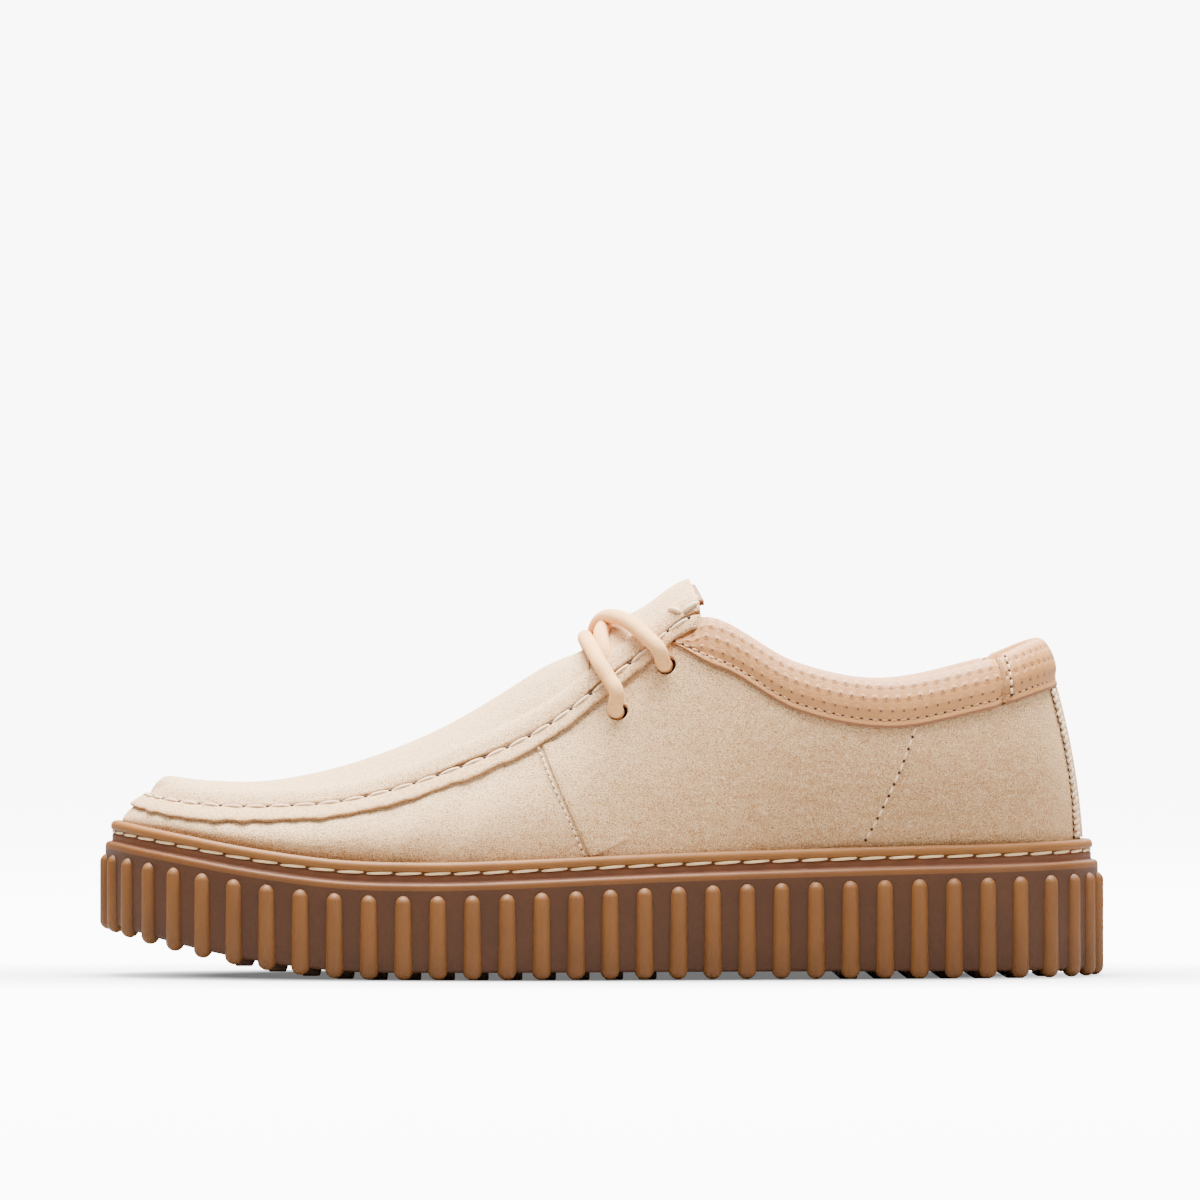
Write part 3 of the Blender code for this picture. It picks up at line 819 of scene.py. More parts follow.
def tube(route: Sequence[Vector], radius: float, sides: int) -> bmesh.types.BMesh:
    """Round cord along a route, with closed ends.

    Args:
        route: Points along the cord.
        radius: Half its diameter.
        sides: Faces round it.

    Returns:
        The cord.
    """
    steps = len(route) - 1
    frames, up = [], Vector((0.0, 0.0, 1.0))
    for k, point in enumerate(route):
        run = (route[min(k + 1, steps)] - route[max(k - 1, 0)]).normalized()
        if k == 0:
            up = run.orthogonal().normalized()
        up = (up - run * up.dot(run)).normalized()
        frames.append((point, up, run.cross(up)))

    def place(u: float, v: float) -> Vector:
        """Point of the cord's skin."""
        point, first, second = frames[round(u * steps)]
        turn = 2.0 * math.pi * v
        return point + (first * math.cos(turn) + second * math.sin(turn)) * radius

    shape = bent_grid(steps, sides, place)
    close_shape(shape, FINE_WELD)
    return shape


# Finishes

class Sketch:
    """Short way to lay out shader nodes."""

    def __init__(self, tree: bpy.types.NodeTree) -> None:
        """Keep the tree that the nodes go into."""
        self.tree = tree

    def add(self, kind: str, settings: dict | None = None, **inputs: object) -> bpy.types.Node:
        """Add a node.

        Args:
            kind: Node type without its ShaderNode prefix.
            settings: Properties of the node.
            inputs: Socket values or links, with underscores for spaces.

        Returns:
            The node.
        """
        node = self.tree.nodes.new(f"ShaderNode{kind}")
        for key, value in (settings or {}).items():
            setattr(node, key, value)
        self.fill(node, **inputs)
        return node

    def fill(self, node: bpy.types.Node, **inputs: object) -> None:
        """Link or set inputs of a node, with underscores for spaces."""
        for key, value in inputs.items():
            self.plug(node, key.replace("_", " "), value)

    def plug(self, node: bpy.types.Node, key: str | int, value: object) -> None:
        """Link or set one input.

        Args:
            node: The node.
            key: Name or number of the input.
            value: A socket or a constant.
        """
        socket = node.inputs[key]
        if isinstance(value, bpy.types.NodeSocket):
            self.tree.links.new(value, socket)
        else:
            socket.default_value = value

    def math(self, operation: str, a: object, b: object = 0.0, c: object = 0.0) -> Socket:
        """Math node of up to three values.

        Args:
            operation: What it does.
            a: First value or socket.
            b: Second value or socket.
            c: Third value or socket.

        Returns:
            Its output.
        """
        node = self.add("Math", {"operation": operation})
        for index, value in enumerate((a, b, c)):
            self.plug(node, index, value)
        return node.outputs[0]

    def times(self, a: object, b: object) -> Socket:
        """Product of two values."""
        return self.math("MULTIPLY", a, b)

    def less(self, a: object, b: object) -> Socket:
        """First value less the second."""
        return self.math("SUBTRACT", a, b)

    def plus(self, a: object, b: object) -> Socket:
        """Sum of two values."""
        return self.math("ADD", a, b)

    def mix(self, share: object, first: object, second: object) -> Socket:
        """Colour between two colours.

        Args:
            share: 0 for the first to 1 for the second.
            first: Colour or socket.
            second: Colour or socket.

        Returns:
            The colour's output.
        """
        node = self.add("Mix", {"data_type": "RGBA"})
        self.plug(node, 0, share)
        for index, colour in ((6, first), (7, second)):
            self.plug(node, index, colour if isinstance(colour, bpy.types.NodeSocket) else (*colour, 1.0))
        return node.outputs[2]

    def ramp(self, value: Socket, low: float, high: float) -> Socket:
        """Value moved from a range to 0 to 1, softly."""
        node = self.add("MapRange", {"interpolation_type": "SMOOTHSTEP"})
        self.fill(node, Value=value, From_Min=low, From_Max=high)
        return node.outputs[0]

    def noise(self, vector: Socket, scale: float, detail: float = 3.0) -> Socket:
        """Noise value of a vector."""
        return self.add("TexNoise", Vector=vector, Scale=scale, Detail=detail).outputs[0]

    def place(self) -> Socket:
        """Object coordinates."""
        return self.add("TexCoord").outputs["Object"]


def new_group(
    name: str, inputs: Sequence[tuple[str, str]], outputs: Sequence[tuple[str, str]],
) -> tuple[bpy.types.NodeTree, Sketch, bpy.types.NodeOutputs, bpy.types.Node]:
    """An empty shader node group with its sockets.

    Args:
        name: Its name.
        inputs: Socket names and types.
        outputs: Socket names and types.

    Returns:
        The group, a sketch of it, what comes in and the node that puts out.
    """
    group = bpy.data.node_groups.new(name, "ShaderNodeTree")
    for sockets, way in ((inputs, "INPUT"), (outputs, "OUTPUT")):
        for key, kind in sockets:
            group.interface.new_socket(name=key, in_out=way, socket_type=f"NodeSocket{kind}")
    entry, leave = (group.nodes.new(f"NodeGroup{way}") for way in ("Input", "Output"))
    return group, Sketch(group), entry.outputs, leave


def nap_group() -> bpy.types.NodeTree:
    """Suede's nap: brushed clouds, fine speckle and a painted top light that makes upward faces lighter.

    Returns:
        The group.
    """
    colours = [(key, "Color") for key in ("Base", "Light", "Dark")]
    group, sketch, entry, leave = new_group(
        "suede_nap", [*colours, ("Speckle", "Float"), ("Tilt", "Float")],
        [("Color", "Color"), ("Height", "Float")])
    where = sketch.place()
    cloud = sketch.ramp(sketch.noise(where, 38.0, 4.0), 0.32, 0.68)
    brushed = sketch.add("Mapping", Vector=where, Scale=(220.0, 420.0, 620.0))
    streak = sketch.ramp(sketch.noise(brushed.outputs[0], 1.0, 4.0), 0.30, 0.70)
    grit = sketch.noise(where, 2200.0, 3.0)
    fine = sketch.noise(where, 3100.0, 2.0)
    # Painted top light: faces that point up are mixed towards the light colour by this share.
    facing = sketch.add("NewGeometry").outputs["Normal"]
    up = sketch.add("SeparateXYZ", Vector=facing).outputs["Z"]
    lit = sketch.times(sketch.ramp(up, -0.1, 0.95), entry["Tilt"])
    colour = sketch.mix(sketch.times(cloud, 0.20), entry["Base"], entry["Dark"])
    colour = sketch.mix(sketch.times(streak, 0.22), colour, entry["Light"])
    colour = sketch.mix(lit, colour, entry["Light"])
    dark_grit = sketch.times(sketch.ramp(grit, 0.49, 0.62), entry["Speckle"])
    colour = sketch.mix(dark_grit, colour, entry["Dark"])
    light_grit = sketch.times(sketch.ramp(fine, 0.54, 0.66), entry["Speckle"])
    colour = sketch.mix(light_grit, colour, entry["Light"])
    height = sketch.plus(sketch.times(grit, 0.6), sketch.times(fine, 0.4))
    sketch.fill(leave, Color=colour, Height=height)
    return group


def pinhole_group() -> bpy.types.NodeTree:
    """Rows of fine pinholes on a UV map in millimetres, with a soft dent round each.

    Returns:
        The group.
    """
    group, sketch, entry, leave = new_group(
        "pinhole_rows", [(key, "Float") for key in ("Along", "Across", "Low", "High")],
        [(key, "Float") for key in ("Hole", "Dent")])
    split = sketch.add("SeparateXYZ", Vector=sketch.add("UVMap").outputs[0])
    along, across = split.outputs["X"], split.outputs["Y"]
    row = sketch.math("DIVIDE", across, entry["Across"])
    shift = sketch.times(sketch.math("FLOOR", row), 0.5)
    column = sketch.plus(sketch.math("DIVIDE", along, entry["Along"]), shift)
    side, rise = (
        sketch.times(sketch.less(sketch.math("FRACT", cell), 0.5), entry[key])
        for cell, key in ((column, "Along"), (row, "Across")))
    distance = sketch.math("SQRT", sketch.plus(sketch.times(side, side), sketch.times(rise, rise)))
    inside = sketch.times(sketch.math("GREATER_THAN", across, entry["Low"]),
                          sketch.math("LESS_THAN", across, entry["High"]))
    hole = sketch.less(1.0, sketch.ramp(distance, 0.28, 0.46))
    dent = sketch.less(1.0, sketch.ramp(distance, 0.15, 1.5))
    groove = sketch.times(sketch.less(1.0, sketch.ramp(sketch.math("ABSOLUTE", rise), 0.0, 0.9)), 0.18)
    sketch.fill(leave, Hole=sketch.times(hole, inside),
                Dent=sketch.times(sketch.math("MAXIMUM", dent, groove), inside))
    return group


@dataclass(frozen=True)
class Finish:
    """What every finish of the shoe sets on its shader."""

    name: str
    base: Colour
    roughness: float

    def start(self) -> tuple[bpy.types.Material, Sketch, bpy.types.Node]:
        """New material in the base colour.

        Returns:
            The material, its sketch and its shader.
        """
        material = bpy.data.materials.new(self.name)
        material.use_nodes = True
        sketch = Sketch(material.node_tree)
        shader = material.node_tree.nodes["Principled BSDF"]
        sketch.fill(shader, Base_Color=(*self.base, 1.0), Roughness=self.roughness)
        material.diffuse_color = (*self.base, 1.0)
        return material, sketch, shader

    def bump(self, sketch: Sketch, shader: bpy.types.Node, height: Socket,
             depth: float, before: bpy.types.Node | None = None) -> bpy.types.Node:
        """Bump node on the shader's normal.

        Args:
            sketch: Where it is added.
            shader: Whose normal it bends.
            height: Height value.
            depth: How deep its full range is.
            before: An earlier bump that it goes over.

        Returns:
            The node.
        """
        node = sketch.add("Bump", Height=height, Distance=depth, Strength=1.0)
        if before is not None:
            sketch.plug(node, "Normal", before.outputs[0])
        sketch.plug(shader, "Normal", node.outputs[0])
        return node


@dataclass(frozen=True)
class Suede(Finish):
    """Brushed suede."""

    light: Colour = (0.8, 0.7, 0.6)
    dark: Colour = (0.4, 0.3, 0.2)
    speckle: float = 0.80
    # Share of painted top light on upward faces.
    painted_top_light: float = 0.75
    depth: float = 0.0011

    def build(self, nap: bpy.types.NodeTree) -> bpy.types.Material:
        """Material with the nap group.

        Args:
            nap: The nap's node group.

        Returns:
            The material.
        """
        material, sketch, shader = self.start()
        group = sketch.add("Group", {"node_tree": nap}, Base=(*self.base, 1.0), Light=(*self.light, 1.0),
                           Dark=(*self.dark, 1.0), Speckle=self.speckle, Tilt=self.painted_top_light)
        sketch.fill(shader, Base_Color=group.outputs["Color"], Sheen_Weight=0.35, Sheen_Roughness=0.55,
                    Sheen_Tint=(*self.light, 1.0), Specular_IOR_Level=0.15)
        self.bump(sketch, shader, group.outputs["Height"], self.depth)
        return material


@dataclass(frozen=True)
class Rubber(Finish):
    """Semi-matte moulded gum rubber, a little translucent."""

    deep: Colour = (0.1, 0.05, 0.02)
    glow: float = 0.08

    def build(self) -> bpy.types.Material:
        """Material with cloudy depth and a fine moulded skin.

        Returns:
            The material.
        """
        material, sketch, shader = self.start()
        where = sketch.place()
        cloud = sketch.ramp(sketch.noise(where, 55.0, 3.0), 0.30, 0.75)
        skin = sketch.noise(where, 1100.0, 3.0)
        colour = sketch.mix(sketch.times(cloud, 0.45), self.base, self.deep)
        rough = sketch.plus(sketch.times(skin, 0.16), self.roughness - 0.08)
        sketch.fill(shader, Base_Color=colour, Roughness=rough, Specular_IOR_Level=0.30,
                    Subsurface_Weight=self.glow, Subsurface_Radius=(0.004, 0.0018, 0.0008),
                    Subsurface_Scale=1.0)
        self.bump(sketch, shader, skin, 0.00004)
        return material


@dataclass(frozen=True)
class CollarLeather(Finish):
    """Smooth leather with fine grain and, where asked, rows of pinholes."""

    dark: Colour = (0.3, 0.15, 0.08)
    rows: tuple[float, float] = (0.0, 0.0)
    pitch: tuple[float, float] = (3.4, 3.9)

    def build(self, pinholes: bpy.types.NodeTree | None = None) -> bpy.types.Material:
        """Material with grain and mottling.

        Args:
            pinholes: Node group of the rows, where wanted.

        Returns:
            The material.
        """
        material, sketch, shader = self.start()
        where = sketch.place()
        mottle = sketch.ramp(sketch.noise(where, 90.0, 4.0), 0.35, 0.75)
        grain = sketch.add("TexVoronoi", {"feature": "DISTANCE_TO_EDGE"}, Vector=where, Scale=1300.0)
        colour = sketch.mix(sketch.times(mottle, 0.20), self.base, self.dark)
        crackle = self.bump(sketch, shader, sketch.ramp(grain.outputs[0], 0.0, 0.22), 0.00005)
        if pinholes is not None:
            group = sketch.add("Group", {"node_tree": pinholes}, Along=self.pitch[0], Across=self.pitch[1],
                               Low=self.rows[0], High=self.rows[1])
            # Painted shade: the dents and row grooves round the pinholes darken the colour, and the holes
            # themselves are painted dark.
            soft = sketch.times(group.outputs["Dent"], 0.16)
            colour = sketch.mix(soft, colour, self.dark)
            colour = sketch.mix(sketch.times(group.outputs["Hole"], 0.95), colour, srgb(84, 46, 24))
            sunk = sketch.less(1.0, group.outputs["Dent"])
            self.bump(sketch, shader, sunk, 0.0003, crackle)
        sketch.fill(shader, Base_Color=colour, Coat_Weight=0.06, Coat_Roughness=0.45)
        return material


@dataclass(frozen=True)
class Thread(Finish):
    """Waxed two-ply thread: twist along the cord."""

    shade: Colour = (0.5, 0.4, 0.3)
    twist: float = 900.0

    def build(self) -> bpy.types.Material:
        """Material with slanted plies.

        Returns:
            The material.
        """
        material, sketch, shader = self.start()
        where = sketch.place()
        turned = sketch.add("Mapping", Vector=where, Rotation=(0.4, 0.9, 0.5))
        wave = sketch.add("TexWave", Vector=turned.outputs[0], Scale=self.twist, Distortion=1.5, Detail=1.0)
        ply = wave.outputs[1]
        # Painted shade: the low grooves between the plies are mixed towards the darker shade colour.
        colour = sketch.mix(sketch.times(ply, 0.45), self.shade, self.base)
        sketch.fill(shader, Base_Color=colour, Sheen_Weight=0.2)
        self.bump(sketch, shader, ply, 0.00012)
        return material


@dataclass(frozen=True)
class Plain(Finish):
    """A quiet finish with only a fine unevenness."""

    def build(self) -> bpy.types.Material:
        """Material with a fine bump.

        Returns:
            The material.
        """
        material, sketch, shader = self.start()
        where = sketch.place()
        fine = sketch.noise(where, 700.0, 3.0)
        deeper = tuple(0.7 * part for part in self.base)
        sketch.plug(shader, "Base Color", sketch.mix(sketch.times(fine, 0.5), self.base, deeper))
        self.bump(sketch, shader, fine, 0.00006)
        return material


@dataclass
class Materials:
    """All finishes of the shoe, built once."""

    def __post_init__(self) -> None:
        """Build the groups and the finishes."""
        nap, pins = nap_group(), pinhole_group()
        cream, light, dark = srgb(192, 144, 96), srgb(244, 208, 162), srgb(138, 96, 58)
        # Every suede below, the lace too, is painted lighter on its upward faces as a painted top light.
        self.suede = Suede("cream_suede", cream, 0.92, light, dark).build(nap)
        self.tongue = Suede("tongue_suede", srgb(212, 162, 110), 0.92, light, dark).build(nap)
        self.lip = Suede("seam_lip_suede", srgb(214, 165, 113), 0.92, light, dark, painted_top_light=0.35).build(nap)
        self.raw_edge = Suede("raw_suede_edge", srgb(180, 132, 86), 0.95, cream, srgb(104, 66, 36),
                              painted_top_light=0.1).build(nap)
        self.lace = Suede("lace_suede", srgb(216, 160, 102), 0.88, srgb(238, 192, 136), srgb(196, 138, 86),
                          speckle=0.45, painted_top_light=0.25, depth=0.00018).build(nap)
        # One gum rubber in five copies: the ribs and the rim bead are painted lighter as painted light, and
        # the wall between the ribs and the recess under the thread are painted darker as painted shade.
        self.shaded_wall_rubber = Rubber("gum_wall_shaded", srgb(70, 37, 9), 0.58, srgb(56, 28, 6)).build()
        self.lit_rib_rubber = Rubber("gum_ribs_lit", srgb(106, 65, 24), 0.58, srgb(86, 51, 18)).build()
        self.lit_band_rubber = Rubber("gum_rim_lit", srgb(118, 74, 26), 0.62, srgb(100, 60, 19), glow=0.12).build()
        self.lip_rubber = Rubber("gum_lip", srgb(100, 59, 20), 0.56, srgb(82, 46, 14)).build()
        self.shaded_recess_rubber = Rubber("gum_recess_shaded", srgb(92, 50, 21), 0.60, srgb(76, 40, 16)).build()
        self.collar = CollarLeather("collar_leather", srgb(178, 120, 62), 0.60, srgb(144, 92, 44),
                                    rows=(3.2, 19.5)).build(pins)
        self.collar_edge = CollarLeather("collar_fold", srgb(124, 76, 36), 0.60, srgb(86, 50, 22)).build()
        self.lining = CollarLeather("lining_leather", srgb(180, 124, 78), 0.60, srgb(128, 80, 46)).build()
        self.footbed = CollarLeather("footbed_leather", srgb(190, 138, 90), 0.60, srgb(140, 92, 54)).build()
        self.thread = Thread("cream_thread", srgb(255, 238, 206), 0.70, srgb(220, 178, 130)).build()
        self.sole_thread = Thread("sole_thread", srgb(255, 236, 196), 0.55, srgb(222, 178, 120)).build()
        self.tan_thread = Thread("tan_thread", srgb(240, 198, 146), 0.70, srgb(180, 122, 74)).build()
        # Dark caps of needle holes and the moc seam's dark line: painted shade.
        self.hole = Plain("needle_hole_shade", srgb(52, 28, 14), 0.95).build()
        self.shadow = Plain("inside_shadow", srgb(44, 26, 15), 0.95).build()


# The shoe's sub-assemblies

@dataclass
class RibbedSole:
    """Cupsole: rim bead, stitch groove, lip, wall, ribs and tread."""

    last: Last
    looks: Materials
    rib_width: float = 5.6 * MM
    rib_pitch: float = 10.3 * MM
    rib_floor_gap: float = 0.25 * MM
    rib_top_drop: float = 3.3 * MM
    tread_depth: float = 2.4 * MM
    lip_drop: float = 6.4 * MM
    groove_drop: float = 3.3 * MM
    rib_crown: float = 0.88
    rib_foot: float = 1.02
    columns_per_station: int = 16
    route_steps: int = 12
    lug_pitch: float = 10.0 * MM
    lug_length: float = 5.4 * MM
    lug_channel: float = 4.0 * MM
    lug_centre: float = 12.0 * MM
    lug_margin: float = 8.0 * MM
    lug_bevel: float = 0.5 * MM
    stitch_inset: float = 2.15 * MM
    stitches: Stitching = Stitching(8.7 * MM, 0.46 * MM, fill=0.92, slant=0.18 * MM, bow=0.5)

    def profile(self) -> list[tuple[float, float, float, int]]:
        """Side of the sole from its underside to the seat.

        Returns:
            Inset, height above the tread's edge, height below the rim (one of the
            two heights counts, by the sign of the second), and a material index.
        """
        foot, top = self.tread_depth, 0.0
        rows = [(4.0 * MM, foot, top, 0), (1.4 * MM, foot + 0.05 * MM, top, 0)]
        rows += [(1.2 * MM * (1.0 - math.sin(a)), foot + 1.4 * MM * (1.0 - math.cos(a)), top, 0)
                 for a in (0.4, 0.8, 1.2, 1.57)]
        # Finish 0 is the gum painted darker as shade between the ribs, 2 the bead painted lighter, 3 the lip
        # and 4 the recess painted darker as shade.
        drops = (
            # inset, drop below the rim, finish
            (0.00, 9.4, 0), (0.00, 8.4, 0), (0.02, 7.7, 3), (0.08, 7.2, 3), (0.25, 6.75, 3),
            (0.55, 6.45, 3), (1.0, 6.3, 3), (1.7, 6.2, 4), (2.0, 6.0, 4), (2.1, 5.5, 4),
            (2.05, 4.7, 4), (2.1, 4.2, 4), (2.5, 3.8, 4), (2.75, 3.3, 4), (2.5, 2.9, 2),
            (1.95, 2.7, 2), (1.72, 2.3, 2), (1.66, 1.7, 2), (1.78, 1.0, 2), (2.1, 0.45, 2),
            (2.7, 0.10, 2), (3.4, 0.0, 2), (4.3, 0.1, 2), (4.9, 0.35, 2), (5.0, 1.0, 2), (5.0, 5.0, 2),
        )
        return rows + [(inset * MM, 0.0, -drop * MM, finish) for inset, drop, finish in drops]

    def build(self) -> None:
        """Model the body of the sole, its ribs, tread and thread."""
        profile = self.profile()
        columns = round(LAP) * self.columns_per_station

        def place(u: float, v: float) -> Vector:
            """Point of the sole's side.

            Args:
                u: Share of the way round.
                v: Share of the profile.

            Returns:
                The point.
            """
            station = u * LAP
            inset, above, below, _ = profile[round(v * (len(profile) - 1))]
            top = self.last.sole_top(station)
            x = ring_value(self.last.outline_ring, station).x
            height = top + below if below < 0.0 or above == 0.0 else self.last.floor_line(x) + above
            return self.last.sole_point(station, inset, height)

        shape = bent_grid(columns, len(profile) - 1, place)
        paint_rows(shape, len(profile), lambda lowest, highest: profile[highest][3])
        close_shape(shape, WELD, split=True)
        looks = self.looks
        finish_piece(shape, "sole_body", [looks.shaded_wall_rubber, looks.lit_rib_rubber, looks.lit_band_rubber,
                                          looks.lip_rubber, looks.shaded_recess_rubber], ["outsole"])
        self.build_ribs()
        self.build_tread()
        self.build_thread()

    def outline_route(self, inset: float, drop: float) -> list[Spot]:
        """Route round the sole.

        Args:
            inset: Distance inwards from the outline.
            drop: Distance below the rim.

        Returns:
            Points and their outward directions.
        """
        route = []
        for k in range(round(LAP) * self.route_steps + 1):
            station = k / self.route_steps
            point = self.last.sole_point(station, inset, self.last.sole_top(station) - drop)
            route.append((point, self.last.outward(self.last.outline_ring, station)))
        return route

    def build_ribs(self) -> None:
        """Domed vertical ribs at an even pitch, narrower at the top than at the foot."""
        shape = bmesh.new()
        route = self.outline_route(0.0, 0.0)
        count = len(spread(route, self.rib_pitch)) - 1
        level = run_lengths([point.xy for point, _ in route])
        half = 0.5 * self.rib_width
        for top_point, out in walk(route, level, [(number + 0.5) / count for number in range(count)]):
            side = Vector((-out.y, out.x, 0.0))
            axis = Vector((top_point.x, top_point.y, 0.0)) + out * (self.last.rib_proud - half)
            low = self.last.floor_line(axis.x) + self.rib_floor_gap + half
            high = top_point.z - self.lip_drop - self.rib_top_drop - half
            turn = Matrix.Rotation(math.atan2(out.y, out.x), 3, "Z")
            made = bmesh.ops.create_uvsphere(shape, u_segments=20, v_segments=13, radius=half)
            for vert in made["verts"]:
                co = turn @ vert.co
                above = vert.co.z > 0.0
                co += side * co.dot(side) * ((self.rib_crown if above else self.rib_foot) - 1.0)
                vert.co = Vector((axis.x + co.x, axis.y + co.y, (high if above else low) + co.z))
        finish_piece(shape, "sole_ribs", [self.looks.lit_rib_rubber])

    def build_tread(self) -> None:
        """Rows of bevelled lugs under the sole."""
        shape = bmesh.new()
        length, centre, aside = self.lug_length, self.lug_centre, self.lug_centre + self.lug_channel
        for row in [*range(-3, 4), *(-k for k in range(9, 22))]:
            x = row * self.lug_pitch
            stations = [self.last.station_at(x, 0.0, inner) for inner in (False, True)]
            outer, inner = (ring_value(self.last.outline_ring, s).y for s in stations)
            floor = self.last.floor_line(x)
            bands = ((outer + self.lug_margin, -aside), (-centre, centre), (aside, inner - self.lug_margin))
            for low, high in bands:
                if high - low < length:
                    continue
                top = self.last.floor_line(x - 0.5 * length) + self.tread_depth + self.lug_bevel
                size = Matrix.Diagonal((length, high - low, top - floor, 1.0))
                place = Matrix.Translation((x, 0.5 * (low + high), 0.5 * (top + floor)))
                made = bmesh.ops.create_cube(shape, size=1.0, matrix=place @ size)
                edges = {edge for vert in made["verts"] for edge in vert.link_edges}
                bmesh.ops.bevel(shape, geom=list(edges), offset=self.lug_bevel, segments=2, profile=0.5,
                                affect="EDGES", material=-1)
        finish_piece(shape, "sole_lugs", [self.looks.shaded_wall_rubber])

    def build_thread(self) -> None:
        """Sidewall stitches in the groove under the rim's bead."""
        route = self.outline_route(self.stitch_inset, self.groove_drop)
        sew("sole_stitch", route, self.stitches, self.looks.sole_thread, self.looks.shaded_recess_rubber)


@dataclass
class Footbed:
    """Leather insole with a soft cup; its stitched edge is not modelled."""

    last: Last
    looks: Materials
    thickness: float = 5.0 * MM
    edge: float = 8.2 * MM
    round_edge: float = 1.0 * MM
    cup: float = 0.8 * MM
    side_share: float = 0.12

    def build(self) -> None:
        """Model the footbed as rings that close on its middle line."""
        def place(u: float, v: float) -> Vector:
            """Point of the footbed.

            Args:
                u: Share of the way round.
                v: 0 at the lower edge to 1 on the middle line.

            Returns:
                The point.
            """
            station = u * LAP
            top = self.last.sole_top(station) - self.last.seat_depth + self.last.seat_lift
            if v < self.side_share:
                up = self.thickness * 0.8 * v / self.side_share
                return self.last.sole_point(station, self.edge, top + up)
            rim, other = (self.last.sole_point(place, self.edge + self.round_edge, top + self.thickness)
                          for place in (station, LAP - station))
            middle = (rim + other) * 0.5
            middle.z -= self.cup
            return rim.lerp(middle, (v - self.side_share) / (1.0 - self.side_share))

        shape = bent_grid(round(LAP) * 8, 14, place)
        bmesh.ops.remove_doubles(shape, verts=shape.verts, dist=WELD)
        finish_piece(shape, "footbed", [self.looks.footbed], ["insole"])


